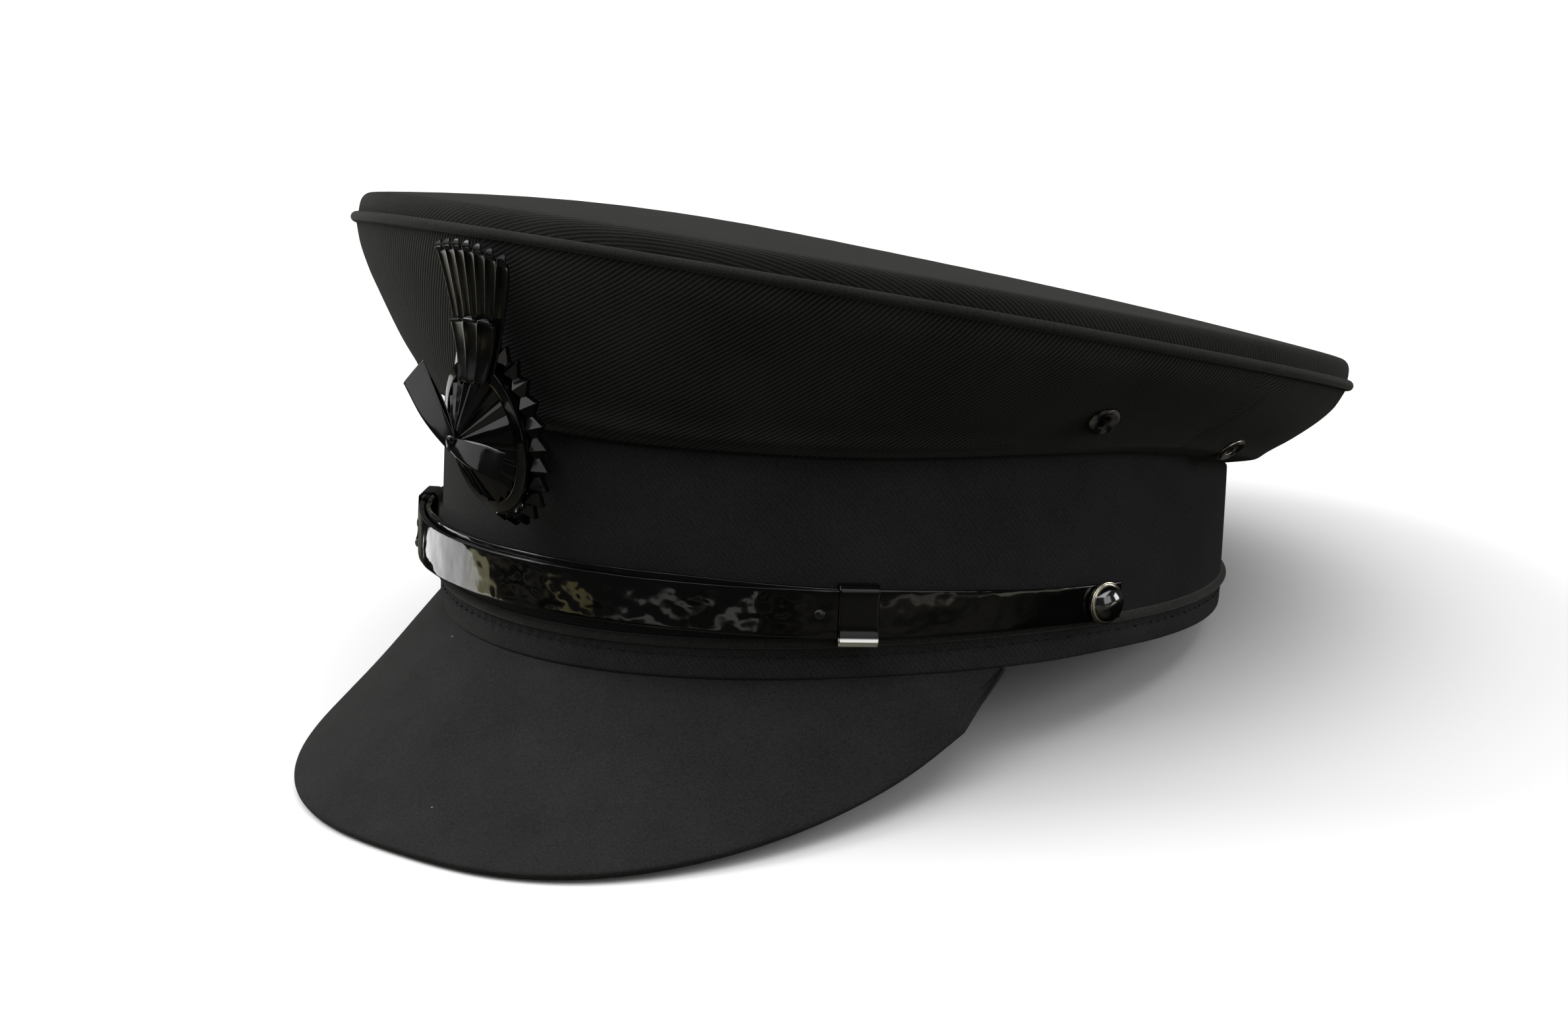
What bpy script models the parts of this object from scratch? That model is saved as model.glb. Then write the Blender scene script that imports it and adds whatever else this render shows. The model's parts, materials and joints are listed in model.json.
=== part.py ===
"""A chauffeur's peaked cap with a livery cockade, in metres, +Z up.

Each piece is modelled in the cap's own frame: the origin is the middle of the band's oval on its bottom
plane, the front is -Y and the wearer's left is +X. Angles round the cap start at the front and grow towards
the wearer's left. An empty then pitches the whole cap back, so that it stands as it does on a table, on the
visor's edge and the rear of the band.
"""

import math

import bmesh
import bpy
from mathutils import Euler, Matrix, Vector

# Fit between pieces
GAP = 0.0003
AROUND = 60

# Band: the stiffened cloth ring that grips the head
BAND_LENGTH = 0.199
BAND_WIDTH = 0.183
BAND_EGG_SHARE = 0.037
BAND_WALL = 0.0022
BAND_HEIGHT = 0.0460
BAND_DIP = 0.005
BAND_ROWS = 2

# Welt: the covered cord sewn round the band above its foot
WELT_HEIGHT = 0.0076
WELT_RADIUS = 0.0012
WELT_PROUD = 0.0002

# Crown: the wide top and its sides, on an oval that slopes down to the rear
CROWN_LENGTH = 0.2506
CROWN_WIDTH = 0.2364
CROWN_SLOPE = math.radians(10.6)
CROWN_SETBACK = 0.0053
CROWN_RISE = 0.0231
CROWN_WALL = 0.0018
SHOULDER_RADIUS = 0.0027
SHOULDER_HEIGHT = 0.0063
DOME_HEIGHT = 0.0063
PIPING_RADIUS = 0.0014
PIPING_PROUD = 0.0004
SIDE_ROWS = 7
FOLD_SHARPNESS = 6
SHOULDER_STEPS = 3
DOME_STEPS = 3

# How the band and the crown's side change round the cap, in rows at equal angles from the front to the rear.
# height: the band's top, as a share of BAND_HEIGHT. lift: the side cloth's angle above level where it leaves
# the band. belly and hang: how far the cloth keeps the direction of its lower and its upper end. hollow: how
# deep a soft fold crosses the middle of the cloth. These three are shares of the distance between its ends.
SECTION_SHARES = (
    # height, lift in degrees, belly, hang, hollow
    (1.00, 50.0, 0.30, 0.13, 0.020),
    (1.00, 39.0, 0.34, 0.13, 0.045),
    (0.98, 37.0, 0.30, 0.21, 0.010),
    (0.72, 4.0, 0.28, 0.14, 0.000),
    (0.69, 0.0, 0.28, 0.14, 0.000),
)

# Visor: the cloth-covered peak sewn under the band's foot
VISOR_HALF_ANGLE = math.radians(70.4)
VISOR_REACH = 0.0399
VISOR_DROP = 0.0435
VISOR_WALL = 0.0024
VISOR_END_WIDTH = 0.0012
VISOR_FULLNESS = 0.765
VISOR_POINTEDNESS = 0.915
VISOR_DROOP = 0.495
VISOR_HOLLOW = 0.0020
VISOR_STEPS = 30
VISOR_ROWS = 4

# Chin strap: two patent leather straps that overlap across the front and pass through two slides
STRAP_HEIGHT = 0.0127
STRAP_WIDTH = 0.0110
STRAP_END_WIDTH = 0.0084
STRAP_THICKNESS = 0.0013
STRAP_LIFT = 0.0013
STRAP_STEPS = 44
BUTTON_ANGLE = math.radians(83.9)
STRAP_END = math.radians(3.2)
SLIDE_ANGLE = math.radians(49.2)
SLIDE_TAIL = math.radians(4.0)
STRAP_RAMP = math.radians(8.0)
SLIDE_WIDTH = 0.0090
SLIDE_WALL = 0.0007
SLIDE_ROOM = 0.0004
SLIDE_CORNER = 0.0007
STRAP_CLEARANCE = WELT_PROUD + WELT_RADIUS + SLIDE_WALL + 2 * GAP
RIVET_LEAD = math.radians(4.7)
RIVET_RADIUS = 0.0015
RIVET_HEIGHT = 0.0007
RIVET_SHOULDER = 0.7
BUTTON_RADIUS = 0.0050
BUTTON_RIM = 0.0010
BUTTON_DOME = 0.0032
BUTTON_EDGE = 0.0006
DOME_RINGS = 4
SHANK_RADIUS = 0.0011
HOLE_CUT = 0.016

# Eyelets: turned metal rings through the crown's side, two on each side
EYELET_PLACES = (
    # angle from the front in degrees, share of the way up the crown's side
    (77.0, 0.40),
    (108.0, 0.22),
)
EYELET_RADIUS = 0.0040
EYELET_HOLE = 0.0018
EYELET_BARREL = 0.0026
EYELET_ROLL = 0.0009
EYELET_SIDES = 14

# Cockade: its foot stands clear of the band, and it leans forward so that its plume clears the crown
COCKADE_RISE = 0.0017
COCKADE_CLEARANCE = 0.0054
PLUME_CLEARANCE = 0.0046
ROSETTE_WIDTH = 0.0300
ROSETTE_HEIGHT = 0.0464
ROSETTE_THICKNESS = 0.0012
ROSETTE_TEETH = 26
TOOTH_DEPTH = 0.0026
TOOTH_RIDGE = 0.0016
TOOTH_CREST = 0.0029
TOOTH_FOOT = 0.0044
ROSETTE_INSET = 0.0075
RING_WIDTH = 0.0240
RING_HEIGHT = 0.0356
RING_RADIUS = 0.0010
RING_FORWARD = 0.0042
RING_STEPS = 32
CONE_MARGIN = 0.0017
CONE_FORWARD = 0.0123
CONE_APEX_RISE = 0.0016
CONE_APEX_RADIUS = 0.0016
CONE_PLEATS = 18
CONE_PLEAT_DEPTH = 0.0009
CONE_WALL = 0.0008
CONE_TIP = 0.0002
CONE_HOLLOWNESS = 1.15
CONE_RINGS = (0.0, 0.35, 1.0)
POST_RADIUS = 0.0018
POST_FLANGE_RADIUS = 0.0050
POST_FLANGE = 0.0010
POST_DROP = 0.0070

# Plume: two fans of rimmed fingers, each fan one moulded piece
PLUME_ROOT_RISE = 0.0135
PLUME_ROOT_FORWARD = 0.0073
PLUME_ROOT_WIDTH = 0.0114
PLUME_TIP_WIDTH = 0.0236
PLUME_RISE = 0.0447
PLUME_TIP_DROP = 0.0021
PLUME_LEAN_BACK = 0.0070
PLUME_LAYER = 0.0021
PLUME_WALL = 0.0008
PLUME_RIM = 0.0004
FAN_SHARES = {
    # name: fingers, then shares of the plume's width at the root, width at the tips, rise of the tips,
    #       drop of the outer tips, layer in front of the plume's root, and lean back of the tips
    "cockade_plume": (7, 1.0, 1.0, 1.0, 1.0, 0.0, 1.0),
    "cockade_plume_front": (3, 0.88, 0.63, 0.626, 0.2, 1.0, 0.29),
}
FAN_STEPS = 5
FAN_CURL = 1.6
# Across one finger: share of its width, share of its length, rim height as a share of PLUME_RIM
FINGER_SHARES = (
    (0.00, 0.86, -1.0),
    (0.20, 0.97, 1.0),
    (0.50, 1.00, -0.4),
    (0.80, 0.97, 1.0),
)

# Bow: two square-ended lobes joined by a knot on the cone's apex
BOW_FORWARD = 0.0147
BOW_REACH = 0.0210
BOW_LEFT_END = Vector((0.905, 0.0, -0.143)) * BOW_REACH
BOW_RIGHT_END = Vector((-1.0, 0.238, 0.524)) * BOW_REACH
BOW_WIDTH = 0.0094
BOW_THICKNESS = 0.0026
BOW_SHARES = (
    # share of the way along the lobe, share of the width, share of the thickness
    (1.00, 0.96, 0.40),
    (0.85, 1.00, 0.55),
    (0.45, 0.80, 0.75),
    (0.14, 0.46, 0.85),
)


def around(angle, column):
    """A column of SECTION_SHARES at an angle, on a smooth curve that is level at the front and at the rear."""
    last = len(SECTION_SHARES) - 1
    spot = abs(math.remainder(angle, 2 * math.pi)) / math.pi * last
    row = min(int(spot), last - 1)
    way = spot - row
    before, start, end, after = (
        SECTION_SHARES[last - abs(last - abs(row + step))][column] for step in (-1, 0, 1, 2)
    )
    bend = 2 * before - 5 * start + 4 * end - after + way * (3 * (start - end) + after - before)
    return start + way / 2 * (end - before + way * bend)


def smooth_step(share):
    share = min(max(share, 0.0), 1.0)
    return share * share * (3 - 2 * share)


def oval(length, width, angle, egg=0.0):
    """A point of an oval in plan. A positive egg makes the rear half wider than the front half."""
    x = width / 2 * math.sin(angle) * (1 - egg * math.cos(angle))
    return Vector((x, -length / 2 * math.cos(angle), 0.0))


def band_point(angle, outside, height):
    """A point that far outside the band's surface, at a height in the cap's frame."""
    point = oval(BAND_LENGTH + 2 * outside, BAND_WIDTH + 2 * outside, angle, BAND_EGG_SHARE)
    point.z = height
    return point


def band_outward(angle):
    ahead = band_point(angle + 0.01, 0.0, 0.0) - band_point(angle - 0.01, 0.0, 0.0)
    return Vector((ahead.y, -ahead.x, 0.0)).normalized()


def band_bottom(angle):
    return -BAND_DIP * max(math.cos(angle), 0.0) ** 2


def band_top(angle):
    return BAND_HEIGHT * around(angle, 0)


def crown_centre():
    return Vector((0.0, CROWN_SETBACK, BAND_HEIGHT + CROWN_RISE))


def crown_point(angle, inset, rise):
    """A point on the crown's sloping oval, that far inside the piping's line and above its plane."""
    point = oval(CROWN_LENGTH - 2 * inset, CROWN_WIDTH - 2 * inset, angle)
    point.z = rise
    return Matrix.Rotation(-CROWN_SLOPE, 3, "X") @ point + crown_centre()


def crown_side_point(angle, share):
    """A point of the crown's side cloth: share 0 is on the band and share 1 under the piping."""
    foot = band_point(angle, 0.0, band_top(angle) + GAP)
    rim = crown_point(angle, 0.0, -PIPING_RADIUS - GAP)
    span = (rim - foot).length
    lift, belly, hang, hollow = (around(angle, column) for column in (1, 2, 3, 4))
    lift = math.radians(lift)
    leave = band_outward(angle) * math.cos(lift) + Vector((0, 0, math.sin(lift)))
    low = foot + leave * belly * span
    high = rim - Vector((0, 0, hang * span))
    rest = 1 - share
    point = foot * rest**3 + low * 3 * share * rest**2 + high * 3 * share**2 * rest + rim * share**3
    return point - leave * hollow * span * math.sin(math.pi * share) ** FOLD_SHARPNESS


def crown_side_normal(angle, share):
    step = 0.01
    round_it = crown_side_point(angle + step, share) - crown_side_point(angle - step, share)
    up_it = crown_side_point(angle, share + step) - crown_side_point(angle, share - step)
    return round_it.cross(up_it).normalized()


def visor_edge(share):
    """A point of the visor's edge, from the wearer's right end at share -1 to the left end at 1."""
    turn = share * math.pi / 2
    end = band_point(VISOR_HALF_ANGLE, VISOR_END_WIDTH, 0.0)
    reach = BAND_LENGTH / 2 + VISOR_REACH
    across = math.copysign(abs(math.sin(turn)) ** VISOR_FULLNESS, turn)
    forward = max(math.cos(turn), 0.0) ** VISOR_POINTEDNESS
    down = max(math.cos(turn), 0.0) ** VISOR_DROOP
    return Vector((end.x * across, end.y - (reach + end.y) * forward, -VISOR_DROP * down - GAP))


def strap_point(angle, outside, height_share, lift=0.0):
    """A point of the chin strap: height_share runs from -1 at its lower edge to 1 at its upper edge."""
    narrowing = smooth_step((abs(angle) - SLIDE_ANGLE) / (BUTTON_ANGLE - SLIDE_ANGLE))
    width = STRAP_WIDTH + (STRAP_END_WIDTH - STRAP_WIDTH) * narrowing
    raised = lift * smooth_step((SLIDE_ANGLE - abs(angle)) / (SLIDE_ANGLE / 2))
    return band_point(angle, outside, STRAP_HEIGHT + raised + height_share * width / 2)


def make_collection(name, in_render=True):
    made = bpy.data.collections.new(name)
    made.hide_render = not in_render
    bpy.context.scene.collection.children.link(made)
    return made


def make_material(name, colour, roughness, metallic=0.0, coat=0.0):
    made = bpy.data.materials.new(name)
    made.use_nodes = True
    shader = made.node_tree.nodes["Principled BSDF"]
    shader.inputs["Base Color"].default_value = (*colour, 1.0)
    shader.inputs["Roughness"].default_value = roughness
    shader.inputs["Metallic"].default_value = metallic
    shader.inputs["Coat Weight"].default_value = coat
    return made


def place(data, name, material, parent):
    """An object in the cap's collection, carried by an empty."""
    made = bpy.data.objects.new(name, data)
    data.materials.append(material)
    cap.objects.link(made)
    made.parent = parent
    if isinstance(data, bpy.types.Mesh):
        data.shade_smooth()
        data.set_sharp_from_angle(angle=math.radians(40))
    return made


def loft(name, rows, wrap=False, apex=None, caps=False):
    """A mesh through rows of points. wrap joins each row into a ring, apex closes the last row to a point,
    and caps fills the first and the last ring."""
    mesh = bpy.data.meshes.new(name)
    bm = bmesh.new()
    lines = [[bm.verts.new(point) for point in row] for row in rows]
    count = len(rows[0])
    spans = [(i, (i + 1) % count) for i in range(count if wrap else count - 1)]
    for lower, upper in zip(lines, lines[1:]):
        for i, j in spans:
            bm.faces.new((lower[i], lower[j], upper[j], upper[i]))
    if apex is not None:
        tip = bm.verts.new(apex)
        for i, j in spans:
            bm.faces.new((lines[-1][i], lines[-1][j], tip))
    if caps:
        bm.faces.new(lines[0][::-1])
        bm.faces.new(lines[-1])
    bm.normal_update()
    bm.to_mesh(mesh)
    bm.free()
    return mesh


def thicken(obj, wall, offset=-1.0):
    """Gives a skin its wall: offset -1 grows it inwards and 1 outwards."""
    solidify = obj.modifiers.new("wall", "SOLIDIFY")
    solidify.thickness = wall
    solidify.offset = offset
    solidify.use_even_offset = True
    return obj


def cut(obj, cutter):
    boolean = obj.modifiers.new(cutter.name, "BOOLEAN")
    boolean.operation = "DIFFERENCE"
    boolean.object = cutter


def cord(name, points, radius, material, parent):
    """A closed loop of round cord through the points."""
    curve = bpy.data.curves.new(name, "CURVE")
    curve.dimensions = "3D"
    curve.bevel_depth = radius
    curve.bevel_resolution = 1
    spline = curve.splines.new("POLY")
    spline.points.add(len(points) - 1)
    for spot, point in zip(spline.points, points):
        spot.co = (*point, 1.0)
    spline.use_cyclic_u = True
    return place(curve, name, material, parent)


def turned(name, profile, material, parent, sides, closed=False):
    """A piece turned about its own Z axis from a profile of (radius, height), outer side downwards."""
    mesh = bpy.data.meshes.new(name)
    mesh.from_pydata(
        [(radius, 0.0, height) for radius, height in profile],
        [(i, i + 1) for i in range(len(profile) - 1)] + ([(len(profile) - 1, 0)] if closed else []),
        [],
    )
    made = place(mesh, name, material, parent)
    screw = made.modifiers.new("turn", "SCREW")
    screw.steps = sides
    screw.render_steps = sides
    screw.use_merge_vertices = True
    screw.merge_threshold = 0.00001
    screw.use_smooth_shade = True
    return made


def face_along(obj, spot, direction):
    """Puts a turned piece at a spot, with its axis along a direction."""
    obj.location = spot
    obj.rotation_euler = direction.to_track_quat("Z", "Y").to_euler()


def round_cutter(name, radius, spot, direction, sides=12):
    """A cylinder for cutting holes, centred on a spot."""
    mesh = bpy.data.meshes.new(name)
    bm = bmesh.new()
    bmesh.ops.create_cone(
        bm, cap_ends=True, segments=sides, radius1=radius, radius2=radius, depth=HOLE_CUT
    )
    bm.to_mesh(mesh)
    bm.free()
    made = bpy.data.objects.new(name, mesh)
    made.hide_render = True
    made.display_type = "WIRE"
    cutters.objects.link(made)
    made.parent = stand
    face_along(made, spot, direction)
    return made


def angles_around():
    return [2 * math.pi * i / AROUND for i in range(AROUND)]


def make_band(parent):
    """The band's wall from the welt to the crown, the foot under the welt, and the welt between them."""
    cloth = make_material("band_cloth", (0.018, 0.018, 0.019), 0.85)
    seat = WELT_RADIUS + GAP

    def wall_row(height_of):
        return [band_point(a, 0.0, height_of(a)) for a in angles_around()]

    def above_welt(share):
        return lambda a: (
            (band_bottom(a) + WELT_HEIGHT + seat) * (1 - share) + band_top(a) * share
        )

    rows = [wall_row(above_welt(i / BAND_ROWS)) for i in range(BAND_ROWS + 1)]
    thicken(place(loft("band", rows, wrap=True), "band", cloth, parent), BAND_WALL)

    foot_cloth = make_material("band_foot_cloth", (0.018, 0.018, 0.019), 0.85)
    rows = [wall_row(band_bottom), wall_row(lambda a: band_bottom(a) + WELT_HEIGHT - seat)]
    foot = place(loft("band_foot", rows, wrap=True), "band_foot", foot_cloth, parent)
    thicken(foot, BAND_WALL)

    welt_cloth = make_material("welt_cloth", (0.020, 0.020, 0.021), 0.8)
    line = [band_point(a, WELT_PROUD, band_bottom(a) + WELT_HEIGHT) for a in angles_around()]
    cord("band_welt", line, WELT_RADIUS, welt_cloth, parent)


def make_crown(parent):
    """The crown's side cloth, its piping and its stretched top."""
    side_cloth = make_material("crown_side_cloth", (0.020, 0.020, 0.021), 0.85)
    rows = [
        [crown_side_point(a, i / SIDE_ROWS) for a in angles_around()] for i in range(SIDE_ROWS + 1)
    ]
    side = place(loft("crown_side", rows, wrap=True), "crown_side", side_cloth, parent)
    thicken(side, CROWN_WALL)

    piping_cloth = make_material("piping_cloth", (0.020, 0.020, 0.021), 0.8)
    line = [crown_point(a, -PIPING_PROUD, 0.0) for a in angles_around()]
    cord("crown_piping", line, PIPING_RADIUS, piping_cloth, parent)

    top_cloth = make_material("crown_top_cloth", (0.022, 0.022, 0.021), 0.85)
    section = [(0.0, PIPING_RADIUS + GAP)]
    for i in range(SHOULDER_STEPS + 1):
        turn = math.pi / 2 * i / SHOULDER_STEPS
        section.append(
            (
                SHOULDER_RADIUS * (1 - math.cos(turn)),
                SHOULDER_HEIGHT - SHOULDER_RADIUS * (1 - math.sin(turn)),
            )
        )
    rows = [[crown_point(a, inset, rise) for a in angles_around()] for inset, rise in section]
    dome_width = CROWN_WIDTH / 2 - SHOULDER_RADIUS
    for i in range(1, DOME_STEPS):
        share = 1 - i / DOME_STEPS
        inset = SHOULDER_RADIUS + dome_width * (1 - share)
        rise = SHOULDER_HEIGHT + DOME_HEIGHT * (1 - share**2)
        rows.append([crown_point(a, inset, rise) for a in angles_around()])
    centre = Matrix.Rotation(-CROWN_SLOPE, 3, "X") @ Vector((0, 0, SHOULDER_HEIGHT + DOME_HEIGHT))
    top = loft("crown_top", rows, wrap=True, apex=centre + crown_centre())
    thicken(place(top, "crown_top", top_cloth, parent), CROWN_WALL)


def make_visor(parent):
    """The peak: a narrow flange under the band's foot, then the board that slopes down to the edge."""
    cloth = make_material("visor_cloth", (0.022, 0.022, 0.024), 0.85)
    shares = [2 * i / VISOR_STEPS - 1 for i in range(VISOR_STEPS + 1)]
    roots = [share * VISOR_HALF_ANGLE for share in shares]
    rows = [
        [band_point(a, -BAND_WALL, band_bottom(a) - GAP) for a in roots],
        [band_point(a, 0.0, band_bottom(a) - GAP) for a in roots],
    ]
    for i in range(1, VISOR_ROWS + 1):
        way = i / VISOR_ROWS
        row = []
        for share, root in zip(shares, rows[1]):
            point = root.lerp(visor_edge(share), way)
            middle = math.cos(share * math.pi / 2)
            point.z -= 4 * way * (1 - way) * VISOR_HOLLOW * middle
            row.append(point)
        rows.append(row)
    visor = place(loft("visor", rows[::-1]), "visor", cloth, parent)
    thicken(visor, VISOR_WALL)


def make_chin_strap(parent):
    """The two straps, their slides and rivets, and the buttons that hold their ends."""
    leather = make_material("strap_leather", (0.004, 0.004, 0.004), 0.08, coat=1.0)
    button_metal = make_material("button_enamel", (0.006, 0.006, 0.006), 0.12, 0.3, 1.0)
    slide_metal = make_material("slide_enamel", (0.008, 0.008, 0.008), 0.15, 0.5, 1.0)
    rivet_metal = make_material("rivet_metal", (0.03, 0.03, 0.03), 0.3, 0.8)
    layer = STRAP_THICKNESS + GAP
    end = BUTTON_ANGLE + STRAP_END

    def inner(angle):
        return STRAP_CLEARANCE

    def outer(angle):
        ramp = smooth_step((angle + SLIDE_ANGLE + SLIDE_TAIL) / STRAP_RAMP + 1)
        return STRAP_CLEARANCE + layer * ramp

    straps = {
        # name: (first angle, last angle, distance from the band, lift across the front)
        "chin_strap_left": (-SLIDE_ANGLE - SLIDE_TAIL / 2, end, inner, STRAP_LIFT),
        "chin_strap_right": (-end, SLIDE_ANGLE + SLIDE_TAIL / 2, outer, 0.0),
    }
    made = {}
    for name, (first, last, outside, lift) in straps.items():
        angles = [first + (last - first) * i / STRAP_STEPS for i in range(STRAP_STEPS + 1)]
        rows = [[strap_point(a, outside(a), h, lift) for a in angles] for h in (-1, 1)]
        strap = place(loft(name, rows), name, leather, parent)
        made[name] = thicken(strap, STRAP_THICKNESS, offset=1.0)

    for side, turn in (("left", 1), ("right", -1)):
        angle = turn * BUTTON_ANGLE
        out = band_outward(angle)
        spot = band_point(angle, 0.0, STRAP_HEIGHT)
        seat = STRAP_CLEARANCE + STRAP_THICKNESS + GAP
        crest = seat + BUTTON_RIM + BUTTON_DOME
        profile = [(0.0, crest)]
        for i in range(1, DOME_RINGS + 1):
            bend = math.pi / 2 * i / DOME_RINGS
            radius = (BUTTON_RADIUS - BUTTON_EDGE) * math.sin(bend)
            profile.append((radius, seat + BUTTON_RIM + BUTTON_DOME * math.cos(bend)))
        profile += [
            (BUTTON_RADIUS, seat + BUTTON_RIM),
            (BUTTON_RADIUS, seat),
            (SHANK_RADIUS, seat),
            (SHANK_RADIUS, GAP),
            (0.0, GAP),
        ]
        name = f"button_{side}"
        face_along(turned(name, profile, button_metal, parent, 18), spot, out)
        hole = round_cutter(f"{name}_hole", SHANK_RADIUS + GAP, spot, out)
        cut(made[f"chin_strap_{side}"], hole)

        make_slide(f"slide_{side}", turn * SLIDE_ANGLE, slide_metal, parent)
        profile = [
            (0.0, RIVET_HEIGHT),
            (RIVET_RADIUS * RIVET_SHOULDER, RIVET_HEIGHT * RIVET_SHOULDER),
            (RIVET_RADIUS, 0.0),
            (0.0, 0.0),
        ]
        angle = turn * (SLIDE_ANGLE - RIVET_LEAD)
        spot = band_point(angle, STRAP_CLEARANCE + layer + STRAP_THICKNESS + GAP, STRAP_HEIGHT)
        rivet = turned(f"rivet_{side}", profile, rivet_metal, parent, 10)
        face_along(rivet, spot, band_outward(angle))


def make_slide(name, angle, material, parent):
    """A flat metal loop round both straps: its section is a rounded rectangle, open at both ends."""
    inside = STRAP_CLEARANCE - GAP
    outside = STRAP_CLEARANCE + 2 * STRAP_THICKNESS + 2 * GAP
    corner = SLIDE_CORNER
    half = STRAP_WIDTH / 2 + GAP + SLIDE_ROOM
    outline = (
        (inside, -half + corner),
        (inside, half - corner),
        (inside + corner, half),
        (outside - corner, half),
        (outside, half - corner),
        (outside, -half + corner),
        (outside - corner, -half),
        (inside + corner, -half),
    )
    out = band_outward(angle)
    along = Vector((-out.y, out.x, 0.0))
    middle = band_point(angle, 0.0, STRAP_HEIGHT)
    rows = []
    for side in (-1, 1):
        shift = along * side * SLIDE_WIDTH / 2
        rows.append([middle + shift + out * far + Vector((0, 0, up)) for far, up in outline])
    slide = place(loft(name, rows, wrap=True), name, material, parent)
    thicken(slide, SLIDE_WALL, offset=1.0)


def make_eyelets(parent):
    """Four eyelets: a barrel through the cloth with its edge rolled out over the hole."""
    metal = make_material("eyelet_metal", (0.03, 0.03, 0.03), 0.25, 0.9)
    middle = (EYELET_BARREL + EYELET_RADIUS) / 2
    profile = (
        (EYELET_HOLE, EYELET_ROLL / 2 + GAP),
        (middle, EYELET_ROLL + GAP),
        (EYELET_RADIUS, EYELET_ROLL / 2 + GAP),
        (EYELET_RADIUS, GAP),
        (EYELET_BARREL, GAP),
        (EYELET_BARREL, -CROWN_WALL),
        (EYELET_HOLE, -CROWN_WALL),
    )
    side_cloth = bpy.data.objects["crown_side"]
    for side, turn in (("left", 1), ("right", -1)):
        for place_name, (degrees, share) in zip(("front", "rear"), EYELET_PLACES):
            angle = turn * math.radians(degrees)
            name = f"eyelet_{side}_{place_name}"
            spot = crown_side_point(angle, share)
            out = crown_side_normal(angle, share)
            eyelet = turned(name, profile, metal, parent, EYELET_SIDES, closed=True)
            face_along(eyelet, spot, out)
            hole = round_cutter(f"{name}_hole", EYELET_BARREL + GAP, spot, out)
            cut(side_cloth, hole)


def cockade_place():
    """The middle of the rosette's back and the angle that the cockade leans forward by."""
    foot = ROSETTE_HEIGHT / 2
    overhang = -crown_point(0.0, 0.0, 0.0).y - BAND_LENGTH / 2
    lean = math.asin((overhang + PLUME_CLEARANCE - COCKADE_CLEARANCE) / (PLUME_RISE + foot))
    standoff = COCKADE_CLEARANCE + foot * math.sin(lean)
    return Vector((0.0, -BAND_LENGTH / 2 - standoff, BAND_HEIGHT + COCKADE_RISE)), lean


def make_rosette(parent, leather):
    """The cockade's oval backing, its rim cut into pyramid teeth."""
    count = 2 * ROSETTE_TEETH

    def ring(inset_of, forward_of):
        points = []
        for i in range(count):
            inset = inset_of(i % 2 == 0)
            point = oval(
                ROSETTE_HEIGHT - 2 * inset, ROSETTE_WIDTH - 2 * inset, 2 * math.pi * i / count
            )
            points.append(Vector((point.x, -forward_of(i % 2 == 0), point.y)))
        return points

    def outline(forward):
        return ring(lambda tip: 0.0 if tip else TOOTH_DEPTH, lambda tip: forward)

    face = ROSETTE_THICKNESS
    rows = [
        ring(lambda tip: ROSETTE_INSET, lambda tip: -face),
        outline(-face),
        outline(0.0),
        ring(lambda tip: TOOTH_CREST, lambda tip: face + (TOOTH_RIDGE if tip else 0.0)),
        ring(lambda tip: TOOTH_FOOT, lambda tip: face),
        ring(lambda tip: ROSETTE_INSET, lambda tip: face),
    ]
    place(loft("cockade_rosette", rows, wrap=True, caps=True), "cockade_rosette", leather, parent)


def make_cockade(parent):
    """The rosette, its ring and pleated cone, the bow, the plume and the post that carries them."""
    leather = make_material("cockade_leather", (0.005, 0.005, 0.005), 0.12, coat=1.0)
    seat = bpy.data.objects.new("cockade_seat", None)
    cap.objects.link(seat)
    seat.parent = parent
    seat.location, lean = cockade_place()
    seat.rotation_euler = Euler((lean, 0, 0))

    make_rosette(seat, leather)

    turns = [2 * math.pi * i / RING_STEPS for i in range(RING_STEPS)]
    line = [oval(RING_HEIGHT, RING_WIDTH, a) for a in turns]
    line = [Vector((p.x, -RING_FORWARD, p.y)) for p in line]
    cord("cockade_ring", line, RING_RADIUS, leather, seat)

    count = 2 * CONE_PLEATS
    base = RING_FORWARD - RING_RADIUS
    rows = []
    for share in CONE_RINGS:
        row = []
        for i in range(count):
            angle = 2 * math.pi * i / count
            edge = oval(RING_HEIGHT - 2 * CONE_MARGIN, RING_WIDTH - 2 * CONE_MARGIN, angle)
            tip = oval(2 * CONE_APEX_RADIUS, 2 * CONE_APEX_RADIUS, angle)
            point = edge.lerp(tip, share)
            forward = base + (CONE_FORWARD - base) * share**CONE_HOLLOWNESS
            forward += (CONE_PLEAT_DEPTH if i % 2 else 0.0) * (1 - share)
            row.append(Vector((point.x, -forward, point.y + CONE_APEX_RISE * share)))
        rows.append(row)
    apex = Vector((0.0, -CONE_FORWARD - CONE_TIP, CONE_APEX_RISE))
    cone = loft("cockade_cone", [row[::-1] for row in rows], wrap=True, apex=apex)
    thicken(place(cone, "cockade_cone", leather, seat), CONE_WALL)

    make_bow(seat, leather)
    for name in FAN_SHARES:
        make_fan(name, seat, leather)
    make_post(parent)


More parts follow.
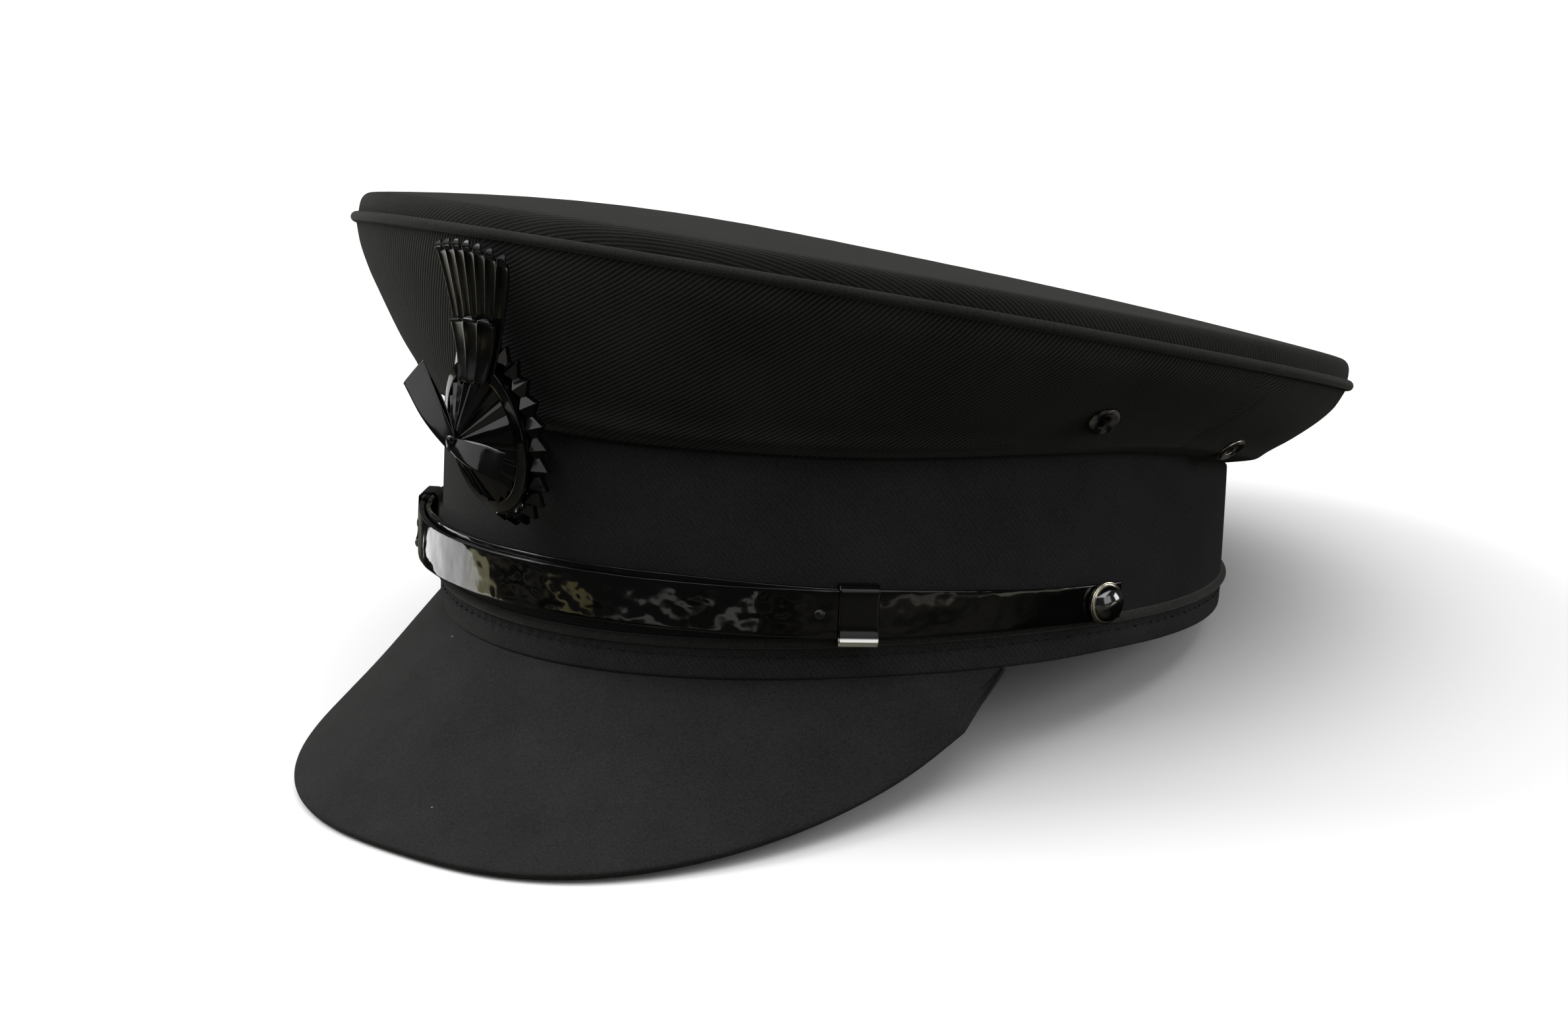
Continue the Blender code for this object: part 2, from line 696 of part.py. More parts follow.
def make_bow(parent, leather):
    """One closed strip from the end of one lobe, through the narrow knot, to the end of the other."""
    knot = Vector((0.0, -BOW_FORWARD, CONE_APEX_RISE))
    stations = [
        (knot + end * along, end * turn, width, thickness)
        for end, turn, order in ((BOW_RIGHT_END, -1, 1), (BOW_LEFT_END, 1, -1))
        for along, width, thickness in BOW_SHARES[::order]
    ]
    corners = ((-1, 0.5), (-0.8, 1), (0.8, 1), (1, 0.5), (1, -0.5), (0.8, -1), (-0.8, -1), (-1, -0.5))
    rows = []
    for middle, direction, width, thickness in stations:
        across = direction.cross(Vector((0, -1, 0))).normalized()
        front = across.cross(direction).normalized()
        rows.append(
            [
                middle
                + across * (u * width * BOW_WIDTH / 2)
                + front * (v * thickness * BOW_THICKNESS / 2)
                for u, v in corners
            ]
        )
    place(loft("cockade_bow", rows, wrap=True, caps=True), "cockade_bow", leather, parent)


def make_fan(name, parent, leather):
    """A fan of fingers moulded in one sheet: raised rims along each finger and notches between the tips."""
    fingers, root_width, tip_width, height, drop, layer, lean_back = FAN_SHARES[name]
    root_half = root_width * PLUME_ROOT_WIDTH / 2
    tip_half = tip_width * PLUME_TIP_WIDTH / 2
    tip_rise = height * PLUME_RISE
    tip_drop = drop * PLUME_TIP_DROP
    forward = PLUME_ROOT_FORWARD + layer * PLUME_LAYER
    columns = []
    for finger in range(fingers):
        for across, length, rim in FINGER_SHARES:
            columns.append((2 * (finger + across) / fingers - 1, length, rim))
    columns.append((1.0, FINGER_SHARES[0][1], FINGER_SHARES[0][2]))
    rows = []
    for i in range(FAN_STEPS + 1):
        row = []
        for across, length, rim in columns:
            way = i / FAN_STEPS * length
            rise = PLUME_ROOT_RISE + (tip_rise - tip_drop * across**2 - PLUME_ROOT_RISE) * way
            half = root_half + (tip_half - root_half) * way
            back = lean_back * PLUME_LEAN_BACK * way**FAN_CURL - rim * PLUME_RIM
            row.append(Vector((across * half, back - forward, rise)))
        rows.append(row)
    fan = place(loft(name, rows), name, leather, parent)
    thicken(fan, PLUME_WALL, offset=0.0)


def make_post(parent):
    """The hidden fixing: a flange on the band and a stem to the back of the rosette."""
    metal = make_material("post_metal", (0.03, 0.03, 0.03), 0.4, 0.8)
    centre, lean = cockade_place()
    height = centre.z - POST_DROP
    back = -centre.y - POST_DROP * math.tan(lean)
    back -= (ROSETTE_THICKNESS + GAP) / math.cos(lean) + POST_RADIUS * math.tan(lean)
    seat = BAND_LENGTH / 2 + GAP
    profile = [
        (0.0, back - seat),
        (POST_RADIUS, back - seat),
        (POST_RADIUS, POST_FLANGE),
        (POST_FLANGE_RADIUS, POST_FLANGE),
        (POST_FLANGE_RADIUS, 0.0),
        (0.0, 0.0),
    ]
    post = turned("cockade_post", profile, metal, parent, 12)
    face_along(post, Vector((0.0, -seat, height)), Vector((0, -1, 0)))


def stand_up(empty):
    """Pitches the cap back until its visor and the rear of its band are level, and sets it on z = 0."""
    bpy.context.view_layer.update()
    graph = bpy.context.evaluated_depsgraph_get()
    points = []
    for obj in cap.objects:
        if obj.type == "EMPTY":
            continue
        evaluated = obj.evaluated_get(graph)
        mesh = evaluated.to_mesh()
        points += [evaluated.matrix_world @ vertex.co for vertex in mesh.vertices]
        evaluated.to_mesh_clear()
    slope = 0.0
    for _ in range(8):
        front = min((p for p in points if p.y < 0), key=lambda p: p.z - slope * p.y)
        rear = min((p for p in points if p.y > 0), key=lambda p: p.z - slope * p.y)
        slope = (rear.z - front.z) / (rear.y - front.y)
    pitch = Matrix.Rotation(-math.atan(slope), 3, "X")
    turned_points = [pitch @ p for p in points]
    depth = [p.y for p in turned_points]
    empty.rotation_euler = pitch.to_euler()
    empty.location = (0, -(min(depth) + max(depth)) / 2, -min(p.z for p in turned_points))


for old in list(bpy.data.objects):
    bpy.data.objects.remove(old)

cap = make_collection("chauffeur_cap")
cutters = make_collection("cutters", in_render=False)
stand = bpy.data.objects.new("stand", None)
cap.objects.link(stand)

make_band(stand)
make_crown(stand)
make_visor(stand)
make_chin_strap(stand)
make_eyelets(stand)
make_cockade(stand)
stand_up(stand)
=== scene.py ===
import json
import math

import bpy
import numpy as np
from mathutils import Matrix, Vector, noise


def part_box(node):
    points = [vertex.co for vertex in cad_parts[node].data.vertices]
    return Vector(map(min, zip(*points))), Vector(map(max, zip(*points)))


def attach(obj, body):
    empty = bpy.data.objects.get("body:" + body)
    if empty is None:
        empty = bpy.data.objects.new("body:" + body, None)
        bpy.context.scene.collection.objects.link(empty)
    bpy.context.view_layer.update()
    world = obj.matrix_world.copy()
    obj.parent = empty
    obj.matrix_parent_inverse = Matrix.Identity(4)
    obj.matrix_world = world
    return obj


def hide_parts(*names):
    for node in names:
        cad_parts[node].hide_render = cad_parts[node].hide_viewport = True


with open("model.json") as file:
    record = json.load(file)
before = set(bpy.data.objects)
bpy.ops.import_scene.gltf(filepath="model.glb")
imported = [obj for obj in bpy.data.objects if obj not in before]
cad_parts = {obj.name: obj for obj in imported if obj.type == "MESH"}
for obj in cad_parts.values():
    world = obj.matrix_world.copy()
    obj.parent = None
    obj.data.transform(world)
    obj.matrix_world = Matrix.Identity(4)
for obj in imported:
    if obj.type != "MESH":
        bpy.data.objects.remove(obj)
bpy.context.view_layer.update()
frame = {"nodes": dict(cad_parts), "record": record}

# How the cap stands
# The cap rests by itself, pitched back on its visor and on the rear of its band. The record's head opening
# gives the middle of the band and the way that it faces, and the cap's own axes follow from these two.
opening = next(mount for mount in frame["record"]["mounts"] if mount["name"] == "head_opening")
down = Vector(opening["axis"])
pitch = math.atan2(down.y, -down.z)
stand = Matrix.Translation(opening["pos_m"]) @ Matrix.Rotation(pitch, 4, "X")
into_cap = stand.inverted()

# The camera
# It looks at the wearer's left front from a little above, with a long lens. The angles and the distance are
# taken in the cap's own axes, and the stand's pitch then carries the camera along.
VIEW_TURN = math.radians(43.05)
VIEW_RISE = math.radians(10.10)
VIEW_ROLL = math.radians(2.42)
VIEW_DISTANCE = 0.9367
VIEW_LEFT = 0.0108
VIEW_LOWER = 0.0184
LENS = 87.5
toward = Vector(
    (
        math.cos(VIEW_RISE) * math.sin(VIEW_TURN),
        -math.cos(VIEW_RISE) * math.cos(VIEW_TURN),
        math.sin(VIEW_RISE),
    )
)
level = Vector((math.cos(VIEW_TURN), math.sin(VIEW_TURN), 0.0))
rolled = Matrix.Rotation(VIEW_ROLL, 3, toward)
right = rolled @ level
up = rolled @ toward.cross(level)
axes = Matrix((right, up, toward)).transposed().to_4x4()
place = toward * VIEW_DISTANCE - right * VIEW_LEFT + up * VIEW_LOWER
bpy.ops.object.camera_add()
camera = bpy.context.object
camera.name = "camera"
camera.matrix_world = stand @ Matrix.Translation(place) @ axes
camera.data.lens = LENS
camera.data.clip_start = 0.01
bpy.context.scene.camera = camera
bpy.context.scene.view_settings.view_transform = "Standard"

# The floor and the light
# A plain pale floor lies under a wide soft ceiling light, with a window and a key light at the wearer's right
# front and weak fill lights at the wearer's left. Lit cards that lie on the floor give the patent leather
# something to mirror, and so do the dim room and the floor's patches.
FLOOR = 4.0
FLOOR_WHITE = 0.90
FLOOR_DIM = ((0.006, 0.006, 0.005), (0.22, 0.21, 0.17))
PATCHES = 3.2
PATCH_EDGES = (0.45, 0.70)
LIGHT_CLEAR = 0.005
ROOM_GREY = 0.26
ROOM_MIRRORED = 0.05
LIGHTS = (
    # name, turn and rise from the cap, distance, width, height, watts
    ("ceiling", 20.0, 86.0, 2.6, 4.0, 4.0, 84.0),
    ("window", -60.0, 31.0, 2.0, 1.9, 1.6, 10.0),
    ("key", -66.0, 44.0, 2.0, 0.7, 0.7, 13.5),
    ("side_fill", 75.0, 24.0, 2.0, 1.4, 1.2, 5.0),
    ("rear_fill", 132.0, 14.0, 1.8, 0.8, 0.8, 8.0),
)
CARDS = (
    # name, turn from the strap, distance, length, width, watts, colour
    ("white", -80.0, 0.50, 0.66, 0.20, 1.00, (1.0, 1.0, 1.0)),
    ("beige", -62.5, 0.42, 0.40, 0.08, 0.13, (1.0, 0.96, 0.55)),
    ("olive", -20.5, 1.30, 1.20, 0.24, 0.75, (1.0, 0.90, 0.42)),
    ("grey", 8.0, 1.20, 1.30, 0.33, 1.10, (1.0, 0.99, 0.94)),
    ("streak", 33.0, 1.10, 1.20, 0.13, 0.42, (1.0, 1.0, 0.98)),
    ("side", 83.0, 0.90, 1.00, 0.12, 0.22, (1.0, 0.94, 0.85)),
    ("rear", 113.0, 0.90, 1.10, 0.16, 0.60, (1.0, 0.97, 0.80)),
)
STRAP_FRONT = Vector((-0.02, -0.10, 0.004))


def add_node(finish, kind, inputs=None, **settings):
    """Adds a shader node. Its inputs are numbers, colours or the outputs of other nodes."""
    made = finish.node_tree.nodes.new("ShaderNode" + kind)
    for name, value in settings.items():
        setattr(made, name, value)
    for name, value in (inputs or {}).items():
        if isinstance(value, bpy.types.NodeSocket):
            finish.node_tree.links.new(value, made.inputs[name])
        else:
            made.inputs[name].default_value = value
    return made


def tone_ramp(finish, factor, dark, light, dark_end=0.0, light_end=1.0):
    """A colour between two tones, by a factor."""
    ramp = add_node(finish, "ValToRGB", {"Fac": factor})
    ends = ramp.color_ramp.elements
    ends[0].position, ends[1].position = dark_end, light_end
    ends[0].color, ends[1].color = (*dark, 1.0), (*light, 1.0)
    return ramp.outputs["Color"]


def add_noise(finish, spot, scale, detail, roughness=0.5):
    """Soft random patches, as values from 0 to 1."""
    inputs = {"Vector": spot, "Scale": scale, "Detail": detail, "Roughness": roughness}
    return add_node(finish, "TexNoise", inputs).outputs["Fac"]


def make_floor_paper():
    """White to the camera, and a dim patchy ground in what the cap mirrors, as in a dark studio."""
    paper = bpy.data.materials.new("floor_paper")
    paper.use_nodes = True
    shader = paper.node_tree.nodes["Principled BSDF"]
    shader.inputs["Base Color"].default_value = (FLOOR_WHITE, FLOOR_WHITE, FLOOR_WHITE, 1.0)
    shader.inputs["Roughness"].default_value = 1.0
    shader.inputs["Specular IOR Level"].default_value = 0.0
    spot = add_node(paper, "TexCoord").outputs["Object"]
    clouds = add_noise(paper, spot, PATCHES, 3.0)
    dim = add_node(paper, "BsdfDiffuse", {"Color": tone_ramp(paper, clouds, *FLOOR_DIM, *PATCH_EDGES)})
    seen = add_node(paper, "LightPath").outputs["Is Camera Ray"]
    choice = add_node(paper, "MixShader", {"Fac": seen})
    links = paper.node_tree.links
    links.new(dim.outputs["BSDF"], choice.inputs[1])
    links.new(shader.outputs["BSDF"], choice.inputs[2])
    links.new(choice.outputs["Shader"], paper.node_tree.nodes["Material Output"].inputs["Surface"])
    return paper


bpy.ops.object.select_all(action="DESELECT")
bpy.ops.mesh.primitive_plane_add(size=FLOOR)
floor = bpy.context.object
floor.name = "floor"
floor.data.materials.append(make_floor_paper())


def add_light(name, width, height, watts):
    """Adds a rectangular area light, to be set in its place."""
    bpy.ops.object.light_add(type="AREA")
    lamp = bpy.context.object
    lamp.name = name
    lamp.data.shape = "RECTANGLE"
    lamp.data.size, lamp.data.size_y = width, height
    lamp.data.energy = watts
    return lamp


for name, turn, rise, distance, width, height, watts in LIGHTS:
    lamp = add_light(f"light_{name}", width, height, watts)
    azimuth, elevation = math.radians(turn), math.radians(rise)
    level_reach = distance * math.cos(elevation)
    lamp.location = (
        level_reach * math.sin(azimuth),
        -level_reach * math.cos(azimuth),
        max(distance * math.sin(elevation), height / 2 * math.cos(elevation) + LIGHT_CLEAR),
    )
    lamp.rotation_euler = lamp.location.to_track_quat("Z", "Y").to_euler()
for name, turn, distance, length, width, watts, colour in CARDS:
    card = add_light(f"card_{name}", width, length, watts)
    card.data.color = colour
    azimuth = math.radians(turn)
    card.location = STRAP_FRONT + distance * Vector((math.sin(azimuth), -math.cos(azimuth), 0.0))
    card.rotation_euler = (math.pi, 0.0, azimuth)

room = bpy.data.worlds.new("room")
room.use_nodes = True
bpy.context.scene.world = room
grey = room.node_tree.nodes["Background"]
grey.inputs["Color"].default_value = (1.0, 1.0, 1.0, 1.0)
white = add_node(room, "Background", {"Color": (1.0, 1.0, 1.0, 1.0)})
rays = add_node(room, "LightPath").outputs
strength = add_node(room, "Mix", {"Factor": rays["Is Glossy Ray"], "A": ROOM_GREY, "B": ROOM_MIRRORED})
room.node_tree.links.new(strength.outputs["Result"], grey.inputs["Strength"])
choice = add_node(room, "MixShader", {"Fac": rays["Is Camera Ray"]})
room.node_tree.links.new(grey.outputs["Background"], choice.inputs[1])
room.node_tree.links.new(white.outputs["Background"], choice.inputs[2])
room.node_tree.links.new(choice.outputs["Shader"], room.node_tree.nodes["World Output"].inputs["Surface"])

# Band
# The stiff ring that grips the head: buckram covered with fine black cloth, sewn up at the back. Its cloth
# is cut on the cross, so its twill falls towards the rear on the wearer's left.
BAND_ROLL = 0.0010
WALL_BEND = math.radians(50)
MERGE_WITHIN = 0.00001
QUAD_TURN = math.radians(40)
SMOOTHING = 2
BAND_GIRTH = 0.600
BACK_SEAM_WIDTH = 0.0016
BACK_SEAM_DEPTH = 0.0005
BACK_SEAM_REACH = math.radians(0.2)
UPRIGHT = 0.8
TUCK_INTO_WELT = 0.0014
TUCK_INTO_SIDE = 0.0005
BAND_DARK = (0.0050, 0.0050, 0.0052)
BAND_LIGHT = (0.0240, 0.0240, 0.0245)
BAND_TWILL = 0.00100
BAND_TWILL_ANGLE = math.radians(-47)
BAND_RIBS = 0.12
THREAD = 0.00045
CLOUDS = 0.020
CLOUD_SHARE = 0.30
TONE_ENDS = (0.25, 0.75)
WAVE_PERIOD = math.pi / 10
CLOTH_RELIEF = 0.00016
LINT_SPACING = 0.019
LINT_SIZE = 0.00022
LINT = (0.30, 0.28, 0.26, 1.0)


def only(piece):
    """Leaves one piece selected and active."""
    bpy.ops.object.select_all(action="DESELECT")
    piece.select_set(True)
    bpy.context.view_layer.objects.active = piece


def merged_copy(node, name):
    """A copy of a solid of the frame, its loose triangles merged into one skin of four-sided faces."""
    mesh = frame["nodes"][node].data.copy()
    mesh.name = name
    mesh.materials.clear()
    piece = bpy.data.objects.new(name, mesh)
    bpy.context.collection.objects.link(piece)
    only(piece)
    bpy.ops.object.mode_set(mode="EDIT")
    bpy.ops.mesh.select_all(action="SELECT")
    bpy.ops.mesh.customdata_custom_splitnormals_clear()
    bpy.ops.mesh.remove_doubles(threshold=MERGE_WITHIN)
    bpy.ops.mesh.mark_sharp(clear=True)
    bpy.ops.mesh.tris_convert_to_quads(face_threshold=QUAD_TURN, shape_threshold=math.pi)
    bpy.ops.object.mode_set(mode="OBJECT")
    return piece


def edit_afresh(piece, picked):
    """Opens a mesh for edits by edge or by face, with nothing picked yet."""
    only(piece)
    bpy.ops.object.mode_set(mode="EDIT")
    bpy.ops.mesh.select_mode(type=picked)
    bpy.ops.mesh.select_all(action="DESELECT")


def soften_edges(piece, width, sharper_than, segments=2):
    """Rounds over the edges that turn by more than an angle."""
    edit_afresh(piece, "EDGE")
    bpy.ops.mesh.edges_select_sharp(sharpness=sharper_than)
    bpy.ops.mesh.bevel(offset=width, segments=segments, affect="EDGES")
    bpy.ops.object.mode_set(mode="OBJECT")


def apply_modifier(piece, kind, **settings):
    """Adds a modifier to a piece and applies it."""
    only(piece)
    modifier = piece.modifiers.new(kind.lower(), kind)
    for setting, value in settings.items():
        setattr(modifier, setting, value)
    bpy.ops.object.modifier_apply(modifier=modifier.name)


def smooth_out(piece, levels=SMOOTHING):
    """Rounds a piece by subdivision."""
    apply_modifier(piece, "SUBSURF", levels=levels, render_levels=levels)
    bpy.ops.object.shade_smooth()


def turn_about(point):
    """The angle round the cap of a point: 0 at the front, growing towards the wearer's left."""
    spot = into_cap @ point
    return math.atan2(spot.x, -spot.y)


def outward(angle):
    """The direction away from the middle of the cap at an angle, level with the band."""
    return stand.to_3x3() @ Vector((math.sin(angle), -math.cos(angle), 0.0))


def map_round(piece, girth):
    """Lays a ring's cloth flat as its UV map, in metres: round the cap, and up it."""
    layer = piece.data.uv_layers.new(name="cloth")
    for face in piece.data.polygons:
        middle = turn_about(face.center)
        for corner in face.loop_indices:
            point = piece.data.vertices[piece.data.loops[corner].vertex_index].co
            angle = middle + math.remainder(turn_about(point) - middle, 2 * math.pi)
            layer.data[corner].uv = (angle / (2 * math.pi) * girth, (into_cap @ point).z)


def new_finish(name, **constants):
    """A material whose shader holds the values that are the same all over it."""
    finish = bpy.data.materials.new(name)
    finish.use_nodes = True
    shader = finish.node_tree.nodes["Principled BSDF"]
    for socket, value in constants.items():
        shader.inputs[socket.replace("_", " ")].default_value = value
    return finish, shader


def mix_in(finish, factor, first, second):
    """One value blended into another: a factor of 0 gives the first."""
    return add_node(finish, "Mix", {"Factor": factor, "A": first, "B": second}).outputs["Result"]


def remap(finish, value, low, high, new_low=0.0, new_high=1.0):
    """A value stretched from one range over another, and held to its ends."""
    inputs = {"Value": value, "From Min": low, "From Max": high, "To Min": new_low, "To Max": new_high}
    return add_node(finish, "MapRange", inputs).outputs["Result"]


def add_relief(finish, shader, height, depth):
    """Raises a pattern on a finish by a depth in metres."""
    relief = add_node(finish, "Bump", {"Height": height, "Strength": 1.0, "Distance": depth})
    finish.node_tree.links.new(relief.outputs["Normal"], shader.inputs["Normal"])


def cloth_finish(name, dark, light, twill=None, twill_angle=0.0, ribs=0.6, sheen=0.05):
    """Black wool cloth: diagonal ribs of twill over fine threads, a soft sheen and a few specks of lint."""
    finish, shader = new_finish(
        name,
        Roughness=0.9,
        Specular_IOR_Level=0.15,
        Sheen_Weight=sheen,
        Sheen_Roughness=0.4,
        Sheen_Tint=(0.95, 0.94, 0.84, 1.0),
    )
    spot = add_node(finish, "TexCoord").outputs
    threads = add_noise(finish, spot["Object"], 1 / THREAD, 2.0, 0.65)
    clouds = add_noise(finish, spot["Object"], 1 / CLOUDS, 3.0, 0.6)
    weave = threads
    if twill:
        laid = add_node(
            finish, "Mapping", {"Vector": spot["UV"], "Rotation": (0.0, 0.0, math.pi / 2 - twill_angle)}
        )
        bands = add_node(
            finish,
            "TexWave",
            {
                "Vector": laid.outputs["Vector"],
                "Scale": WAVE_PERIOD / twill,
                "Distortion": 0.7,
                "Detail": 3.0,
                "Detail Scale": 3.5,
            },
        ).outputs["Fac"]
        weave = mix_in(finish, ribs, threads, bands)
    tone = mix_in(finish, CLOUD_SHARE, weave, clouds)
    body = tone_ramp(finish, tone, dark, light, *TONE_ENDS)
    lint = add_node(
        finish, "TexVoronoi", {"Vector": spot["Object"], "Scale": 1 / LINT_SPACING}
    ).outputs["Distance"]
    speck_size = LINT_SIZE / LINT_SPACING
    speck = remap(finish, lint, 0.6 * speck_size, 1.4 * speck_size, 1.0, 0.0)
    coloured = add_node(finish, "MixRGB", {"Fac": speck, "Color1": body, "Color2": LINT})
    finish.node_tree.links.new(coloured.outputs["Color"], shader.inputs["Base Color"])
    add_relief(finish, shader, weave, CLOTH_RELIEF)
    return finish


def fix_in_place(piece):
    """Puts a piece's origin back at the scene's, and leaves its shape where it is."""
    only(piece)
    bpy.ops.object.transform_apply(location=True, rotation=True, scale=True)


def hand_over(piece, name, finish, slot, *nodes):
    """Gives a finished piece its material, and lets it ride with the cap in place of its solids."""
    piece.name = name
    piece.data.materials.clear()
    piece.data.materials.append(finish)
    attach(piece, "root")
    if nodes:
        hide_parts(*nodes)


def sink_seam(piece, width, depth, on_seam):
    """Sews a seam into a skin: opens its edges into a narrow strip and sinks the strip's middle line."""
    edit_afresh(piece, "EDGE")
    bpy.ops.object.mode_set(mode="OBJECT")
    vertices = piece.data.vertices
    for edge in piece.data.edges:
        edge.select = all(on_seam(vertices[i].co) for i in edge.vertices)
    middles = [vertices[i].co.copy() for edge in piece.data.edges if edge.select for i in edge.vertices]
    bpy.ops.object.mode_set(mode="EDIT")
    bpy.ops.mesh.bevel(offset=width / 2, segments=2, affect="EDGES")
    bpy.ops.mesh.select_all(action="DESELECT")
    bpy.ops.object.mode_set(mode="OBJECT")
    for vertex in piece.data.vertices:
        if min((vertex.co - middle).length for middle in middles) < width / 8:
            vertex.co -= outward(turn_about(vertex.co)) * depth


cap_up = stand.to_3x3() @ Vector((0.0, 0.0, 1.0))


def lengthen_wall(piece, below, above, below_at_front_only=False):
    """Moves a wall's lower and upper rims outwards, to where they are sewn in behind their neighbours."""
    vertices = piece.data.vertices
    heights = [(into_cap @ vertex.co).z for vertex in vertices]
    lower = set()
    upper = set()
    for edge in piece.data.edges:
        a, b = sorted(edge.vertices, key=lambda i: heights[i])
        if heights[b] - heights[a] > UPRIGHT * (vertices[b].co - vertices[a].co).length:
            lower.add(a)
            upper.add(b)
    for i in lower - upper:
        front = min(4 * max(math.cos(turn_about(vertices[i].co)), 0.0), 1.0)
        vertices[i].co -= cap_up * below * (front if below_at_front_only else 1.0)
    for i in upper - lower:
        vertices[i].co += cap_up * above


def at_back(point):
    """Whether a point lies on the seam at the back."""
    return abs(math.remainder(turn_about(point) - math.pi, 2 * math.pi)) < BACK_SEAM_REACH


band_wool = cloth_finish("band_wool", BAND_DARK, BAND_LIGHT, BAND_TWILL, BAND_TWILL_ANGLE, BAND_RIBS)
band = merged_copy("band", "band_wall")
lengthen_wall(band, TUCK_INTO_WELT, TUCK_INTO_SIDE)
sink_seam(band, BACK_SEAM_WIDTH, BACK_SEAM_DEPTH, at_back)
soften_edges(band, BAND_ROLL, WALL_BEND, 3)
smooth_out(band)
map_round(band, BAND_GIRTH)
hand_over(band, "band_wall", band_wool, "band_cloth", "band")

# Band foot
# The narrow border under the welt, of the same cloth, stitched through into the visor. The cloth puckers
# between the stitches, which stand about 3 mm apart just under the welt.
FOOT_HEIGHT = 0.0061
TUCK_INTO_VISOR = 0.0008
STITCH_PITCH = 0.0033
STITCH_DROP = 0.0014
PUCKER_DEPTH = 0.00065
FOOT_ROLL = 0.0010
PUCKER_SPREAD = 0.0011
PUCKER_LEAST = 0.4
BAND_DIP = 0.005
# Painted light: the foot is the band's cloth in lighter tones, to make up for the shade of the strap over it.
FOOT_DARK_PAINTED_LIGHTER = (0.0072, 0.0072, 0.0074)
FOOT_LIGHT_PAINTED_LIGHTER = (0.0350, 0.0350, 0.0355)
stitch_count = round(BAND_GIRTH / STITCH_PITCH)


def stitch_line(angle):
    """The height of the stitching at an angle, in the cap's own axes."""
    return FOOT_HEIGHT - STITCH_DROP - BAND_DIP * max(math.cos(angle), 0.0) ** 2


foot_wool_painted_lighter = cloth_finish("foot_wool_painted_lighter", FOOT_DARK_PAINTED_LIGHTER, FOOT_LIGHT_PAINTED_LIGHTER, BAND_TWILL, BAND_TWILL_ANGLE, BAND_RIBS)
foot = merged_copy("band_foot", "band_border")
lengthen_wall(foot, TUCK_INTO_VISOR, TUCK_INTO_WELT, below_at_front_only=True)
sink_seam(foot, BACK_SEAM_WIDTH, BACK_SEAM_DEPTH, at_back)
soften_edges(foot, FOOT_ROLL, WALL_BEND)
smooth_out(foot, 3)
for vertex in foot.data.vertices:
    angle = turn_about(vertex.co)
    above = (into_cap @ vertex.co).z - stitch_line(angle)
    pucker = PUCKER_LEAST + (1 - PUCKER_LEAST) * math.cos(angle * stitch_count)
    drawn_in = math.exp(-((above / PUCKER_SPREAD) ** 2)) * pucker
    vertex.co -= outward(angle) * PUCKER_DEPTH * drawn_in
map_round(foot, BAND_GIRTH)
hand_over(foot, "band_border", foot_wool_painted_lighter, "band_cloth", "band_foot")

# Foot stitches
# The black thread that sews the foot to the visor. It shows between the puckers, one short stitch to each,
# half sunk into the cloth. Its near-black is partly the thread's own colour and partly painted shade, for
# the dark of the puckers.
STITCH_LENGTH = 0.0015
STITCH_THICKNESS = 0.00036
STITCH_SUNK = 0.00010
THREAD_BLACK_AND_SHADE = (0.003, 0.003, 0.003, 1.0)
THREAD_BEND = math.radians(70)
RAY_START = 0.2


def join_up(pieces):
    """Joins some pieces to the first of them."""
    only(pieces[0])
    for piece in pieces[1:]:
        piece.select_set(True)
    bpy.ops.object.join()
    return bpy.context.object


stitches = []
for number in range(stitch_count):
    angle = (number + 0.5) * 2 * math.pi / stitch_count - math.pi
    start = stand @ Vector((0.0, 0.0, stitch_line(angle)))
    found, spot = foot.ray_cast(start + outward(angle) * RAY_START, -outward(angle))[:2]
    if not found:
        continue
    bpy.ops.object.select_all(action="DESELECT")
    bpy.ops.mesh.primitive_cylinder_add(
        vertices=6,
        radius=STITCH_THICKNESS / 2,
        depth=STITCH_LENGTH,
        location=spot - outward(angle) * STITCH_SUNK,
        rotation=outward(angle + math.pi / 2).to_track_quat("Z", "Y").to_euler(),
    )
    stitches.append(bpy.context.object)
thread = join_up(stitches)
fix_in_place(thread)
bpy.ops.object.shade_smooth_by_angle(angle=THREAD_BEND)
black_thread_and_shade = new_finish("black_thread_and_shade", Base_Color=THREAD_BLACK_AND_SHADE, Roughness=0.9)[0]
hand_over(thread, "foot_stitches_and_shade", black_thread_and_shade, "band_cloth")

# Crown side
# The side cloth of the crown, four quarters of gabardine that meet at the front, at the back and behind the
# front eyelets. Each quarter is cut flat as part of a cone, so its steep twill fans out round the cap. The
# cloth sags a little over the band's edge, and its hem is turned in behind it.
SIDE_CUTS = 9
CROWN_WALL = 0.0018
SIDE_SEAMS = (0.0, 96.0, 180.0, -96.0)
SIDE_SEAM_WIDTH = 0.0012
SIDE_SEAM_DEPTH = 0.00035
SIDE_TUCK = 0.0022
SIDE_TUCK_WIDTH = 0.0045
SIDE_WAVES = 0.040
SIDE_WAVE_HEIGHT = 0.0008
SIDE_CALM = 0.012
SIDE_RAISE = 0.0005
HEM_BULGE = 0.0020
HEM_BULGE_AT = 0.0042
HEM_BULGE_SPREAD = 0.0040
EYELET_TILT = math.radians(14)
EYELET_SPREAD = 0.0075
CONE_SINE = 0.42
SEAM_REACH_DEGREES = 1.5
GABARDINE_DARK = (0.0030, 0.0030, 0.0030)
GABARDINE_LIGHT = (0.0260, 0.0260, 0.0250)
CROWN_TWILL = 0.00090
SIDE_TWILL_ANGLE = math.radians(43)
SIDE_RIBS = 0.65
EYELET_HOLE = 0.0029
EYELET_CLEAR = 0.0045
PUNCH_LENGTH = 0.012
EYELETS = [f"eyelet_{hand}_{end}" for hand in ("left", "right") for end in ("front", "rear")]


def box_middle(node):
    """The middle of a solid's box."""
    low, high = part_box(node)
    return (Vector(low) + Vector(high)) / 2


